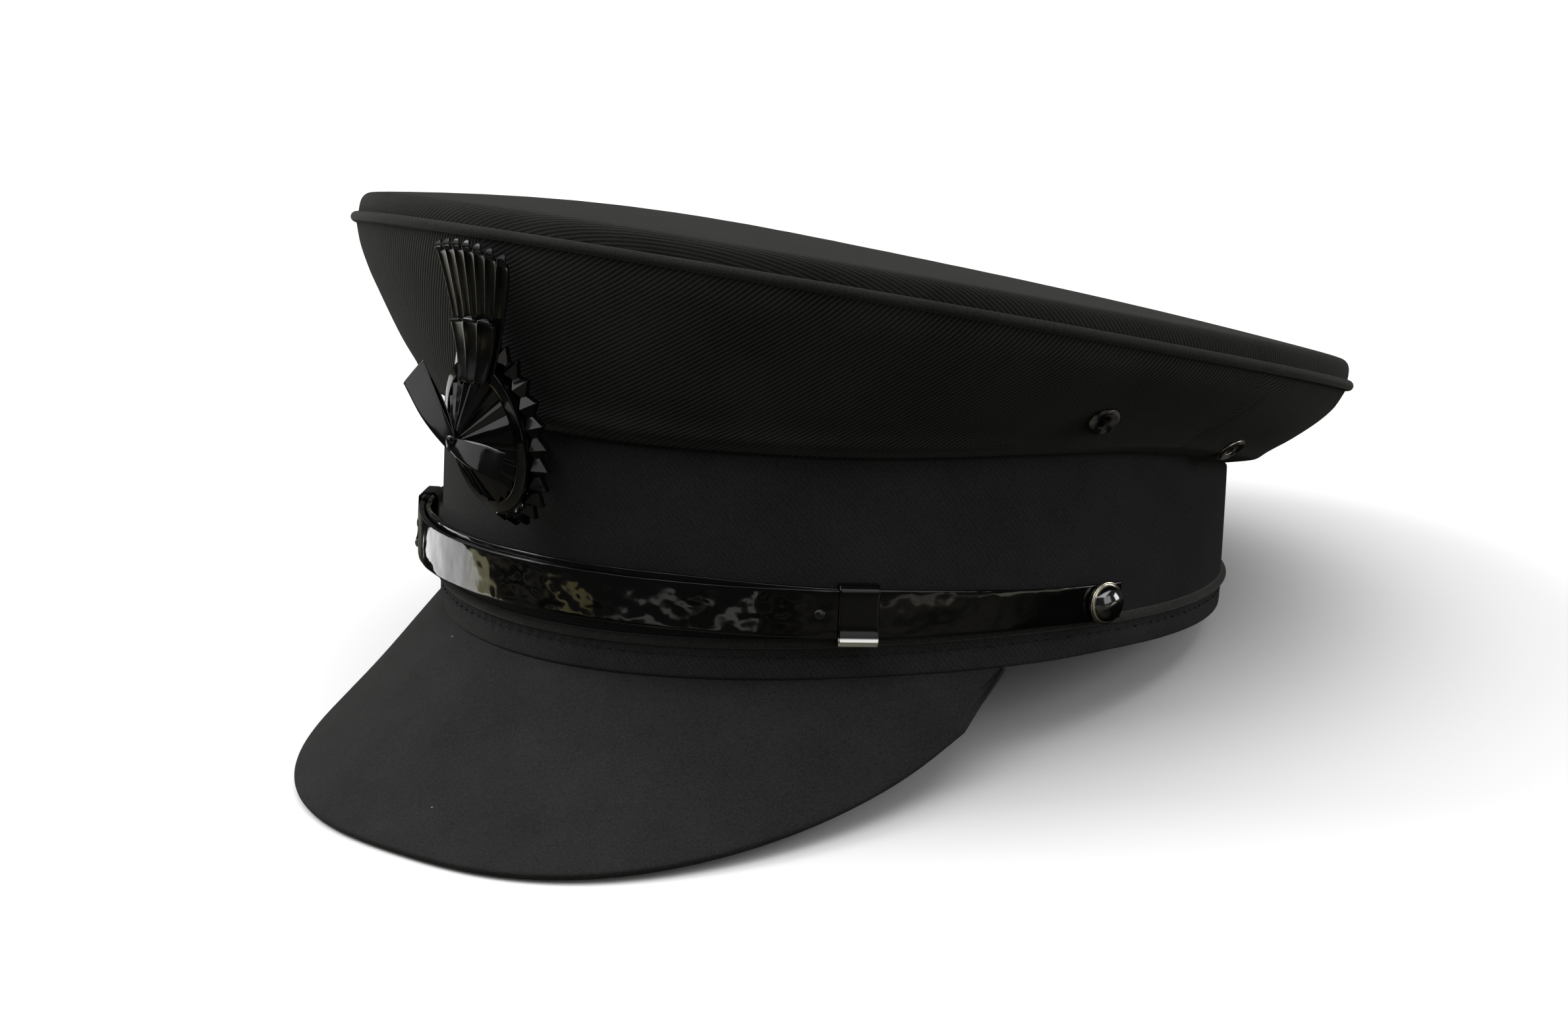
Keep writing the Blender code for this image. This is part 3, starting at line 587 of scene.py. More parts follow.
def outer_skin(node, name):
    """The outer face alone of a walled solid, up to the edges where it turns sharply."""
    skin = merged_copy(node, name)
    faces = skin.data.polygons
    outermost = max(range(len(faces)), key=lambda i: faces[i].center.x)
    edit_afresh(skin, "FACE")
    bpy.ops.object.mode_set(mode="OBJECT")
    faces[outermost].select = True
    bpy.ops.object.mode_set(mode="EDIT")
    bpy.ops.mesh.faces_select_linked_flat(sharpness=WALL_BEND)
    bpy.ops.mesh.select_all(action="INVERT")
    bpy.ops.mesh.delete(type="FACE")
    bpy.ops.object.mode_set(mode="OBJECT")
    return skin


def keep_rims(piece, clear_of, distance):
    """Leaves only the open edges of a skin, without those near some points."""
    edit_afresh(piece, "EDGE")
    bpy.ops.mesh.select_non_manifold()
    bpy.ops.mesh.select_all(action="INVERT")
    bpy.ops.mesh.delete(type="EDGE_FACE")
    bpy.ops.mesh.select_all(action="SELECT")
    bpy.ops.mesh.delete_loose(use_edges=False)
    bpy.ops.mesh.select_mode(type="VERT")
    bpy.ops.mesh.select_all(action="DESELECT")
    bpy.ops.object.mode_set(mode="OBJECT")
    for vertex in piece.data.vertices:
        vertex.select = any((vertex.co - point).length < distance for point in clear_of)
    bpy.ops.object.mode_set(mode="EDIT")
    bpy.ops.mesh.delete(type="VERT")
    bpy.ops.object.mode_set(mode="OBJECT")


class Rim:
    """A closed line round the cap, read off as turns in degrees, points and lengths along it."""

    def __init__(self, piece, start):
        beside = {vertex.index: [] for vertex in piece.data.vertices}
        for edge in piece.data.edges:
            a, b = edge.vertices
            beside[a].append(b)
            beside[b].append(a)
        line = [start, beside[start][0]]
        while line[-1] != start:
            line.append(next(i for i in beside[line[-1]] if i != line[-2]))
        points = [piece.data.vertices[i].co.copy() for i in line[:-1]]
        points.sort(key=turn_about)
        self.turns = [math.degrees(turn_about(point)) for point in points]
        self.points = points
        steps = [(b - a).length for a, b in zip(points, points[1:] + points[:1])]
        self.lengths = np.cumsum([0.0] + steps[:-1])
        self.girth = sum(steps)
        self.indices = set(line)

    def point(self, turn):
        """The point of the line at a turn."""
        return Vector([np.interp(turn, self.turns, values, period=360) for values in zip(*self.points)])

    def length(self, turn):
        """How far along the line a turn lies, with whole laps added."""
        laps, rest = divmod(turn - self.turns[0], 360.0)
        return laps * self.girth + np.interp(
            rest + self.turns[0], [*self.turns, self.turns[0] + 360.0], [*self.lengths, self.girth]
        )


def read_rims(piece):
    """The lower and the upper rim of the crown's side."""
    start = min(piece.data.vertices, key=lambda vertex: (into_cap @ vertex.co).xy.length).index
    lower = Rim(piece, start)
    other = next(vertex.index for vertex in piece.data.vertices if vertex.index not in lower.indices)
    return lower, Rim(piece, other)


def map_cone(piece, hem):
    """Lays each quarter of the side flat as its UV map, in metres, with its own middle upright."""
    hem_points = [hem.point(turn) for turn in range(-180, 181)]
    hem_lengths = [hem.length(turn) for turn in range(-180, 361)]
    layer = piece.data.uv_layers.new(name="cloth")
    seams = sorted(seam % 360.0 for seam in SIDE_SEAMS) + [360.0]
    radius = hem.girth / (2 * math.pi) / CONE_SINE
    turns = [math.degrees(turn_about(vertex.co)) for vertex in piece.data.vertices]
    rises = []
    for vertex, turn in zip(piece.data.vertices, turns):
        step = int(turn + 180.0)
        foot_point = hem_points[step].lerp(hem_points[min(step + 1, 360)], turn + 180.0 - step)
        rises.append((vertex.co - foot_point).length)
    for face in piece.data.polygons:
        here = math.degrees(turn_about(face.center))
        middle = next((a + b) / 2 for a, b in zip(seams, seams[1:]) if here % 360.0 <= b)
        for corner in face.loop_indices:
            index = piece.data.loops[corner].vertex_index
            turn = middle + math.remainder(turns[index] - middle, 360.0)
            along, start = np.interp((turn, middle), range(-180, 361), hem_lengths)
            swing = (along - start) / radius
            reach = radius + rises[index]
            layer.data[corner].uv = (reach * math.sin(swing), reach * math.cos(swing))


def settle_cloth(piece, hem, brow, eyelets):
    """Lets the cloth wander between its rims, sag over the band's edge and stand up round its eyelets."""
    for vertex in piece.data.vertices:
        turn = math.degrees(turn_about(vertex.co))
        from_hem, from_brow = ((vertex.co - rim.point(turn)).length for rim in (hem, brow))
        calm = min(min(from_hem, from_brow) / SIDE_CALM, 1.0)
        wave = noise.noise(vertex.co / SIDE_WAVES) * SIDE_WAVE_HEIGHT * calm
        tuck = SIDE_TUCK * max(1 - from_hem / SIDE_TUCK_WIDTH, 0.0) ** 2
        bulge = HEM_BULGE * math.exp(-(((from_hem - HEM_BULGE_AT) / HEM_BULGE_SPREAD) ** 2))
        bulge *= min(from_hem / HEM_BULGE_AT, 1.0)
        stood = 0.0
        for middle in eyelets:
            apart = vertex.co - middle
            near = math.exp(-((apart.length / EYELET_SPREAD) ** 2) / 2)
            stood -= math.tan(EYELET_TILT) * apart.dot(cap_up) * near
        vertex.co += outward(math.radians(turn)) * (wave - tuck + bulge + stood)
        vertex.co += cap_up * SIDE_RAISE * max(1 - from_brow / SIDE_TUCK_WIDTH, 0.0)


def bore(piece, middle, direction, radius):
    """Cuts a round hole through a cloth."""
    bpy.ops.object.select_all(action="DESELECT")
    bpy.ops.mesh.primitive_cylinder_add(
        vertices=24,
        radius=radius,
        depth=PUNCH_LENGTH,
        location=middle,
        rotation=direction.to_track_quat("Z", "Y").to_euler(),
    )
    punch = bpy.context.object
    apply_modifier(piece, "BOOLEAN", operation="DIFFERENCE", object=punch, solver="EXACT")
    bpy.data.objects.remove(punch)


gabardine = cloth_finish(
    "gabardine", GABARDINE_DARK, GABARDINE_LIGHT, CROWN_TWILL, SIDE_TWILL_ANGLE, SIDE_RIBS
)
pattern = outer_skin("crown_side", "side_pattern")
side = pattern.copy()
side.data = pattern.data.copy()
bpy.context.collection.objects.link(side)
eyelet_middles = [box_middle(node) for node in EYELETS]
keep_rims(side, eyelet_middles, EYELET_CLEAR)
hem, brow = read_rims(side)
seam_columns = []
for seam in SIDE_SEAMS:
    nearest = min(range(len(hem.turns)), key=lambda i: abs(math.remainder(hem.turns[i] - seam, 360.0)))
    seam_columns.append((hem.points[nearest], brow.points[nearest]))


def on_side_seam(point):
    """Whether a point lies on one of the side's four seams."""
    turn = math.degrees(turn_about(point))
    for low, high in seam_columns:
        share = min(max((point - low).dot(high - low) / (high - low).length_squared, 0.0), 1.0)
        here = math.degrees(turn_about(low.lerp(high, share)))
        if abs(math.remainder(turn - here, 360.0)) < SEAM_REACH_DEGREES:
            return True
    return False


only(side)
bpy.ops.object.mode_set(mode="EDIT")
bpy.ops.mesh.select_mode(type="EDGE")
bpy.ops.mesh.select_all(action="SELECT")
bpy.ops.mesh.bridge_edge_loops(number_cuts=SIDE_CUTS)
bpy.ops.mesh.select_all(action="SELECT")
bpy.ops.mesh.normals_make_consistent(inside=False)
bpy.ops.object.mode_set(mode="OBJECT")
apply_modifier(side, "SHRINKWRAP", target=pattern, wrap_method="NEAREST_SURFACEPOINT")
bpy.data.objects.remove(pattern)
sink_seam(side, SIDE_SEAM_WIDTH, SIDE_SEAM_DEPTH, on_side_seam)
smooth_out(side)
map_cone(side, hem)
settle_cloth(side, hem, brow, eyelet_middles)
apply_modifier(side, "SOLIDIFY", thickness=CROWN_WALL, offset=-1.0, use_even_offset=True)
for middle in eyelet_middles:
    nearest = min(side.data.polygons, key=lambda face: (face.center - middle).length)
    bore(side, middle, nearest.normal, EYELET_HOLE)
only(side)
bpy.ops.object.shade_smooth_by_angle(angle=WALL_BEND)
hand_over(side, "crown_side_cloth", gabardine, "crown_cloth", "crown_side")

# Crown top
# One oval of the same gabardine, stretched over a wire to a low dome. Its edge rolls down over the wire
# to the piping, where it is tucked in, and the twill runs on over this shoulder.
TOP_TWILL_ANGLE = math.radians(25)
CROWN_MIDDLE = (0.0, 0.0053, 0.0691)
CROWN_SLOPE = math.radians(-10.6)
SHOULDER_TOP = 0.0063
TOP_RIM = 0.0019
TOP_TUCK = 0.0010
TOP_ROLL = 0.0006
TOP_BEND = math.radians(60)
TOP_RIBS = 0.50
TOP_SHEEN = 0.06
TOP_LIGHT = (0.0200, 0.0200, 0.0190)
PUFF = 0.0022
PUFF_MIDDLE = Vector((-0.008, -0.078))
PUFF_SPREAD = 0.040
PUFF_HOLD = 12
CROWN_HALF = Vector((0.118, 0.125))
into_crown = (stand @ Matrix.Translation(CROWN_MIDDLE) @ Matrix.Rotation(CROWN_SLOPE, 4, "X")).inverted()
crown_up = into_crown.inverted().to_3x3() @ Vector((0.0, 0.0, 1.0))


def puff_up(piece):
    """Lifts the cloth over the front of the crown, where the stiffening behind the cockade pushes it up."""
    for vertex in piece.data.vertices:
        spot = (into_crown @ vertex.co).xy
        out = Vector((spot.x / CROWN_HALF.x, spot.y / CROWN_HALF.y)).length
        far = (spot - PUFF_MIDDLE).length / PUFF_SPREAD
        vertex.co += crown_up * PUFF * math.exp(-far * far / 2) * max(1 - out**PUFF_HOLD, 0.0)


def map_dome(piece):
    """Lays the top flat as its UV map, in metres, with the shoulder spread out round it."""
    layer = piece.data.uv_layers.new(name="cloth")
    for face in piece.data.polygons:
        for corner in face.loop_indices:
            point = piece.data.vertices[piece.data.loops[corner].vertex_index].co
            spot = into_crown @ point
            reach = max(spot.xy.length, 0.001)
            spread = 1 + max(SHOULDER_TOP - spot.z, 0.0) / reach
            layer.data[corner].uv = (spot.x * spread, spot.y * spread)


top_gabardine = cloth_finish(
    "top_gabardine", GABARDINE_DARK, TOP_LIGHT, CROWN_TWILL, TOP_TWILL_ANGLE, TOP_RIBS, TOP_SHEEN
)
top = merged_copy("crown_top", "crown_top_cloth")
for vertex in top.data.vertices:
    if (into_crown @ vertex.co).z < TOP_RIM:
        vertex.co -= crown_up * TOP_TUCK
soften_edges(top, TOP_ROLL, TOP_BEND)
smooth_out(top)
puff_up(top)
map_dome(top)
hand_over(top, "crown_top_cloth", top_gabardine, "crown_cloth", "crown_top")

# Piping and welt
# Two cords covered with bias strips of the cloth. The piping is caught in the seam of the crown's top and
# side, and the welt is sewn round the band over the foot's upper edge.
CORD_SWELL = 0.00010
CORD_DARK = (0.0050, 0.0050, 0.0050)
CORD_LIGHT = (0.0250, 0.0250, 0.0245)
CORD_SHEEN = 0.10
# Painted highlight: the welt's cloth is lighter than the piping's, for the light line along the welt.
WELT_DARK_PAINTED_HIGHLIGHT = (0.0100, 0.0100, 0.0100)
WELT_LIGHT_PAINTED_HIGHLIGHT = (0.0420, 0.0420, 0.0415)
WELT_SHEEN = 0.16
cord_wool = cloth_finish("cord_wool", CORD_DARK, CORD_LIGHT, sheen=CORD_SHEEN)
welt_wool_painted_highlight = cloth_finish("welt_wool_painted_highlight", WELT_DARK_PAINTED_HIGHLIGHT, WELT_LIGHT_PAINTED_HIGHLIGHT, sheen=WELT_SHEEN)
for node, name, finish in (
    ("crown_piping", "piping_cord", cord_wool),
    ("band_welt", "welt_cord", welt_wool_painted_highlight),
):
    cord = merged_copy(node, name)
    only(cord)
    bpy.ops.object.mode_set(mode="EDIT")
    bpy.ops.mesh.select_all(action="SELECT")
    bpy.ops.transform.shrink_fatten(value=CORD_SWELL)
    bpy.ops.object.mode_set(mode="OBJECT")
    smooth_out(cord)
    hand_over(cord, name, finish, "cord_cloth", node)

# Visor
# The downturned peak: board covered with the cap's cloth, its edge turned under. Its root is sewn in below
# the foot and set back a little behind it, so that the foot's edge stands over it.
VISOR_EDGE = 0.0009
VISOR_ROOT = 0.0006
VISOR_SET_BACK = 0.0008
VISOR_DARK = (0.0055, 0.0055, 0.0056)
VISOR_LIGHT = (0.0290, 0.0290, 0.0292)
VISOR_SHEEN = 0.06
visor_wool = cloth_finish("visor_wool", VISOR_DARK, VISOR_LIGHT, sheen=VISOR_SHEEN)
visor = merged_copy("visor", "visor_board")
for vertex in visor.data.vertices:
    angle = turn_about(vertex.co)
    if (into_cap @ vertex.co).z > -BAND_DIP * max(math.cos(angle), 0.0) ** 2 - VISOR_ROOT:
        vertex.co -= outward(angle) * VISOR_SET_BACK
soften_edges(visor, VISOR_EDGE, WALL_BEND)
smooth_out(visor)
hand_over(visor, "visor_board", visor_wool, "visor_cloth", "visor")

# Eyelets
# Four turned eyelets vent the crown, the barrel of each clenched through the cloth. The front ones keep most
# of their black enamel, and the rear ones are worn to the bare metal.
EYELET_EDGE = 0.00015
ENAMEL_BLACK = (0.006, 0.006, 0.006)
WORN_METAL = (0.55, 0.53, 0.48)
DULL_METAL = (0.34, 0.33, 0.29)
WEAR_SCALE = 170.0


def worn_enamel(name, bare_from, bare_to, metal):
    """Black enamel over metal, worn through in patches."""
    finish, shader = new_finish(name, Roughness=0.24)
    spot = add_node(finish, "TexCoord").outputs["Object"]
    worn = remap(finish, add_noise(finish, spot, WEAR_SCALE, 3.0), bare_from, bare_to)
    links = finish.node_tree.links
    links.new(tone_ramp(finish, worn, ENAMEL_BLACK, metal), shader.inputs["Base Color"])
    links.new(worn, shader.inputs["Metallic"])
    return finish


eyelet_finishes = {
    "front": worn_enamel("eyelet_enamel", 0.52, 0.90, DULL_METAL),
    "rear": worn_enamel("eyelet_bare", 0.25, 0.50, WORN_METAL),
}
for node in EYELETS:
    grommet = merged_copy(node, node + "_ring")
    about = Matrix.Translation(box_middle(node))
    level_axis = outward(turn_about(box_middle(node))).cross(cap_up)
    grommet.matrix_world = about @ Matrix.Rotation(EYELET_TILT, 4, level_axis) @ about.inverted()
    fix_in_place(grommet)
    soften_edges(grommet, EYELET_EDGE, WALL_BEND)
    smooth_out(grommet)
    hand_over(grommet, node + "_ring", eyelet_finishes[node.split("_")[-1]], "eyelet_metal", node)

# Chin strap
# Two straps of patent leather overlap across the front and pass through the slides to the side buttons. The
# lacquer isn't quite flat, so what it mirrors breaks up along the strap.
STRAP_EDGE = 0.00030
STRAP_WAVES = 0.011
STRAP_WAVE_HEIGHT = 0.00032
STRAP_RELIEF = 0.00030
LACQUER_BLACK = (0.0022, 0.0022, 0.0022)
SMEAR_SCALE = 130.0


def ripple(piece, name, size, height):
    """Lets a surface wander a little, as leather does."""
    waves = bpy.data.textures.new(name, "CLOUDS")
    waves.noise_scale = size
    waves.noise_depth = 1
    apply_modifier(
        piece, "DISPLACE", texture=waves, texture_coords="LOCAL", strength=height, mid_level=0.5
    )


def patent_leather(name, waviness, wave_size=0.006, roughness=0.07, gloss=0.45):
    """Black lacquered leather: a wet gloss, faint waves and dull smears."""
    finish, shader = new_finish(name, Base_Color=(*LACQUER_BLACK, 1.0), Specular_IOR_Level=gloss)
    spot = add_node(finish, "TexCoord").outputs["Object"]
    waves = add_noise(finish, spot, 1 / wave_size, 1.5, 0.4)
    smears = add_noise(finish, spot, SMEAR_SCALE, 5.0)
    dullness = remap(finish, smears, 0.35, 0.75, roughness * 0.6, roughness * 1.8)
    finish.node_tree.links.new(dullness, shader.inputs["Roughness"])
    add_relief(finish, shader, waves, waviness)
    return finish


strap_patent = patent_leather("strap_patent", STRAP_RELIEF)
for hand in ("left", "right"):
    strap = merged_copy(f"chin_strap_{hand}", f"strap_{hand}")
    soften_edges(strap, STRAP_EDGE, WALL_BEND)
    smooth_out(strap)
    ripple(strap, "strap_waves", STRAP_WAVES, STRAP_WAVE_HEIGHT)
    hand_over(strap, f"strap_{hand}", strap_patent, "strap_leather", f"chin_strap_{hand}")

# Slides
# Flat enamelled loops that hold the two straps together. The lower lip of each is bent outwards and shows
# bright metal, partly enamel rubbed through and partly a painted highlight.
FITTING_EDGE = 0.00018
LIP_CUTS = 5
LIP_HEIGHT = 0.0024
LIP_REACH = 0.0013
LIP_BARE_AND_HIGHLIGHT = 0.0020
BARE_AND_HIGHLIGHT_BLEND = 0.0006
BARE_AND_HIGHLIGHT_ENDS = (0.35, 0.65)
SLIDE_METAL_AND_HIGHLIGHT = (0.80, 0.79, 0.76)


def rubbed_enamel_and_highlight(name, metal, gloss, density):
    """Black enamel with bright metal where an attribute says: wear, and on slide lips partly a painted
    highlight.
    """
    finish, shader = new_finish(name, Roughness=0.12, Specular_IOR_Level=gloss, IOR=density)
    bare_and_highlight = add_node(finish, "Attribute", attribute_name="bare_and_highlight").outputs["Fac"]
    colour = tone_ramp(finish, bare_and_highlight, LACQUER_BLACK, metal, *BARE_AND_HIGHLIGHT_ENDS)
    finish.node_tree.links.new(colour, shader.inputs["Base Color"])
    finish.node_tree.links.new(bare_and_highlight, shader.inputs["Metallic"])
    return finish


def mark_bare_and_highlight(piece, depths):
    """Writes down how much bright metal each vertex shows, from how far it lies inside that part, in metres.
    """
    layer = piece.data.attributes.new("bare_and_highlight", "FLOAT", "POINT")
    for mark, depth in zip(layer.data, depths):
        mark.value = min(max(depth / BARE_AND_HIGHLIGHT_BLEND + 0.5, 0.0), 1.0)


slide_enamel = rubbed_enamel_and_highlight("slide_enamel", SLIDE_METAL_AND_HIGHLIGHT, 0.40, 1.50)
for hand in ("left", "right"):
    slide = merged_copy(f"slide_{hand}", f"slide_loop_{hand}")
    middle = box_middle(f"slide_{hand}")
    away = outward(turn_about(middle))
    lowest = min((into_cap @ vertex.co).z for vertex in slide.data.vertices)
    only(slide)
    bpy.ops.object.mode_set(mode="EDIT")
    bpy.ops.mesh.select_all(action="SELECT")
    bpy.ops.mesh.subdivide(number_cuts=LIP_CUTS)
    bpy.ops.object.mode_set(mode="OBJECT")
    for vertex in slide.data.vertices:
        if (vertex.co - middle).dot(away) > 0:
            height = (into_cap @ vertex.co).z - lowest
            vertex.co += away * LIP_REACH * max(1 - height / LIP_HEIGHT, 0.0)
    soften_edges(slide, FITTING_EDGE, WALL_BEND)
    smooth_out(slide, 1)
    # The lip's bright metal is partly wear and partly a painted highlight.
    depths = []
    for vertex in slide.data.vertices:
        outside = (vertex.co - middle).dot(away) > 0
        depths.append(LIP_BARE_AND_HIGHLIGHT + lowest - (into_cap @ vertex.co).z if outside else -BARE_AND_HIGHLIGHT_BLEND)
    mark_bare_and_highlight(slide, depths)
    hand_over(slide, f"slide_loop_{hand}", slide_enamel, "black_enamel", f"slide_{hand}")

# Buttons
# A domed button of black enamelled metal holds each end of the straps, its shank sewn through the band. Its
# turned rim is rubbed to bright metal.
RIM_BARE = 0.0042
RIM_METAL = (0.80, 0.74, 0.60)
button_enamel = rubbed_enamel_and_highlight("button_enamel", RIM_METAL, 1.0, 1.85)
for hand in ("left", "right"):
    button = merged_copy(f"button_{hand}", f"button_dome_{hand}")
    soften_edges(button, FITTING_EDGE, WALL_BEND)
    smooth_out(button)
    middle = box_middle(f"button_{hand}")
    away = outward(turn_about(middle))
    from_middle = [vertex.co - middle for vertex in button.data.vertices]
    mark_bare_and_highlight(button, [(apart - away * apart.dot(away)).length - RIM_BARE for apart in from_middle])
    hand_over(button, f"button_dome_{hand}", button_enamel, "black_enamel", f"button_{hand}")

# Rivets
# A small domed head of dark metal beside each slide, riveted to the strap. It stops the slide from moving
# along.
RIVET_METAL = (0.05, 0.05, 0.05)
rivet_metal = worn_enamel("rivet_metal", 0.60, 0.90, RIVET_METAL)
for hand in ("left", "right"):
    rivet = merged_copy(f"rivet_{hand}", f"rivet_head_{hand}")
    soften_edges(rivet, FITTING_EDGE, WALL_BEND)
    smooth_out(rivet)
    hand_over(rivet, f"rivet_head_{hand}", rivet_metal, "fixing_metal", f"rivet_{hand}")

# Cockade plate and stem
# The oval backing of pressed patent leather, its rim cut into pyramid teeth, on the metal stem that holds the
# cockade to the band. The whole cockade leans forward, clear of the crown, so the stem shows from the sides.
COCKADE_LEAN = math.radians(15)
PLATE_BACK = 0.0007
BADGE_RELIEF = 0.00004
TOOTH_EDGE = 0.00010
CRISP_BEND = math.radians(15)
CRISP_SHADE = math.radians(12)
badge = (
    Matrix.Translation(box_middle("cockade_rosette") + Vector((0.0, PLATE_BACK, 0.0)))
    @ Matrix.Rotation(pitch + COCKADE_LEAN, 4, "X")
)
badge_patent = patent_leather("badge_patent", BADGE_RELIEF, 0.004, 0.08)
for node, name, finish, slot in (
    ("cockade_rosette", "cockade_plate", badge_patent, "cockade_leather"),
    ("cockade_post", "cockade_stem", rivet_metal, "fixing_metal"),
):
    backing = merged_copy(node, name)
    soften_edges(backing, TOOTH_EDGE, CRISP_BEND, 1)
    bpy.ops.object.shade_smooth_by_angle(angle=CRISP_SHADE)
    hand_over(backing, name, finish, slot, node)

# Cockade ring
# An oval frame of patent leather round the cone, moulded and glued to the plate. Its face slopes outwards to
# the teeth.
RING_WIDTH = 0.0256
RING_HEIGHT = 0.0370
RING_OPENING = 0.83
RING_OUTER = 0.0044
RING_INNER = 0.0054
RING_WALL = 0.0032
RING_EDGE = 0.00035
RING_SIDES = 48


def set_in_badge(piece):
    """Puts a piece that was made about the origin in its place on the cockade, and its origin back."""
    piece.matrix_world = badge @ piece.matrix_world
    fix_in_place(piece)


bpy.ops.object.select_all(action="DESELECT")
bpy.ops.mesh.primitive_cone_add(
    vertices=RING_SIDES,
    radius1=0.5,
    radius2=0.5 * RING_OPENING,
    depth=RING_INNER - RING_OUTER,
    end_fill_type="NOTHING",
    location=(0.0, -(RING_INNER + RING_OUTER) / 2, 0.0),
    rotation=(math.pi / 2, 0.0, 0.0),
    scale=(RING_WIDTH, RING_HEIGHT, 1.0),
)
oval_ring = bpy.context.object
set_in_badge(oval_ring)
apply_modifier(oval_ring, "SOLIDIFY", thickness=RING_WALL, offset=-1.0)
soften_edges(oval_ring, RING_EDGE, WALL_BEND)
smooth_out(oval_ring)
hand_over(oval_ring, "cockade_ring_band", badge_patent, "cockade_leather", "cockade_ring")

# Cockade cone
# A low cone of patent leather, pleated from its rim in the ring to its apex under the bow's knot. Its pleats
# are creased sharp, and it is glued to the plate.
CONE_PLEATS = 22
CONE_WIDTH = 0.0206
CONE_HEIGHT = 0.0322
CONE_BASE = 0.0034
CONE_FORWARD = 0.0123
CONE_TIP = 0.0016
CONE_RISE = 0.0016
PLEAT_DEPTH = 0.0018
CONE_WALL = 0.0008
PLEAT_EDGE = 0.00010
APEX_FROM = 0.9
bpy.ops.object.select_all(action="DESELECT")
bpy.ops.mesh.primitive_cone_add(
    vertices=2 * CONE_PLEATS,
    radius1=0.5,
    radius2=CONE_TIP / CONE_WIDTH,
    depth=CONE_FORWARD - CONE_BASE,
    end_fill_type="NOTHING",
    location=(0.0, -(CONE_FORWARD + CONE_BASE) / 2, 0.0),
    rotation=(math.pi / 2, 0.0, 0.0),
    scale=(CONE_WIDTH, CONE_HEIGHT, 1.0),
)
cone = bpy.context.object
fix_in_place(cone)
rim_vertices = sorted(
    (vertex for vertex in cone.data.vertices if vertex.co.y > -(CONE_FORWARD + CONE_BASE) / 2),
    key=lambda vertex: math.atan2(vertex.co.z / CONE_HEIGHT, vertex.co.x / CONE_WIDTH),
)
for number, vertex in enumerate(rim_vertices):
    vertex.co.y -= PLEAT_DEPTH if number % 2 else 0.0
for vertex in cone.data.vertices:
    if vertex.co.y < -APEX_FROM * CONE_FORWARD:
        vertex.co.z += CONE_RISE
edit_afresh(cone, "EDGE")
bpy.ops.object.mode_set(mode="OBJECT")
for edge in cone.data.edges:
    edge.select = all(cone.data.vertices[i].co.y < -APEX_FROM * CONE_FORWARD for i in edge.vertices)
bpy.ops.object.mode_set(mode="EDIT")
bpy.ops.mesh.edge_face_add()
bpy.ops.object.mode_set(mode="OBJECT")
set_in_badge(cone)
apply_modifier(cone, "SOLIDIFY", thickness=CONE_WALL, offset=-1.0)
soften_edges(cone, PLEAT_EDGE, CRISP_BEND, 1)
bpy.ops.object.shade_smooth_by_angle(angle=CRISP_SHADE)
hand_over(cone, "cockade_cone_pleats", badge_patent, "cockade_leather", "cockade_cone")

# Cockade bow
# A flattened ribbon of patent leather looped to each side of a small knot on the cone's apex. The right
# loop stands up across the cone's rim, and the left one lies out level.
KNOT_FORWARD = 0.0141
KNOT_LENGTH = 0.0028
KNOT_HEIGHT = 0.0044
KNOT_DEPTH = 0.0019
LOOP_PRESSED = 0.55
RIBBON = 0.00045
RIBBON_EDGE = 0.000135
TIE_EDGE = 0.0008
BOW_FACE = Vector((0.0, -0.908, 0.418))
BOW_LOOPS = (
    # end of the loop from the knot, width at that end, thickness of the flattened loop
    (Vector((-0.0163, 0.0060, 0.0131)), 0.0080, 0.0020),
    (Vector((0.0172, -0.0012, -0.0026)), 0.0068, 0.0024),
)
PINCH = ((0.00, 0.44), (0.25, 0.68), (0.55, 0.88), (1.00, 1.00))
knot = Vector((0.0, -KNOT_FORWARD, CONE_RISE))


def make_loop(reach, width, thickness):
    """A loop of ribbon along +X from the origin: a flat oval drawn out across it, narrowed at the knot."""
    bpy.ops.object.select_all(action="DESELECT")
    bpy.ops.mesh.primitive_cylinder_add(
        vertices=20,
        radius=0.5,
        depth=width,
        end_fill_type="NOTHING",
        location=(reach / 2, 0.0, 0.0),
        scale=(reach, thickness, 1.0),
    )
    loop = bpy.context.object
    fix_in_place(loop)
    for vertex in loop.data.vertices:
        way = min(max(vertex.co.x / reach, 0.0), 1.0)
        vertex.co.z *= np.interp(way, *zip(*PINCH))
        vertex.co.y *= LOOP_PRESSED + (1 - LOOP_PRESSED) * math.sin(math.pi * min(way * 1.2, 1.0))
    return loop


bows = []
for end, width, thickness in BOW_LOOPS:
    loop = make_loop(end.length, width, thickness)
    apply_modifier(loop, "SOLIDIFY", thickness=RIBBON, offset=-1.0)
    soften_edges(loop, RIBBON_EDGE, WALL_BEND, 1)
    smooth_out(loop)
    along = end.normalized()
    across = along.cross(BOW_FACE).normalized()
    front = across.cross(along)
    loop.matrix_world = Matrix.Translation(knot) @ Matrix((along, -front, across)).transposed().to_4x4()
    set_in_badge(loop)
    bows.append(loop)
bpy.ops.object.select_all(action="DESELECT")
bpy.ops.mesh.primitive_cylinder_add(
    vertices=16,
    radius=0.5,
    depth=KNOT_LENGTH,
    location=knot,
    rotation=(0.0, math.pi / 2, 0.0),
    scale=(KNOT_HEIGHT, KNOT_DEPTH, 1.0),
)
tie = bpy.context.object
set_in_badge(tie)
soften_edges(tie, TIE_EDGE, WALL_BEND)
smooth_out(tie)
bow = join_up([*bows, tie])
bpy.ops.object.mode_set(mode="EDIT")
bpy.ops.mesh.select_all(action="SELECT")
bpy.ops.mesh.normals_make_consistent(inside=False)
bpy.ops.object.mode_set(mode="OBJECT")
hand_over(bow, "cockade_bow_loops", badge_patent, "cockade_leather", "cockade_bow")

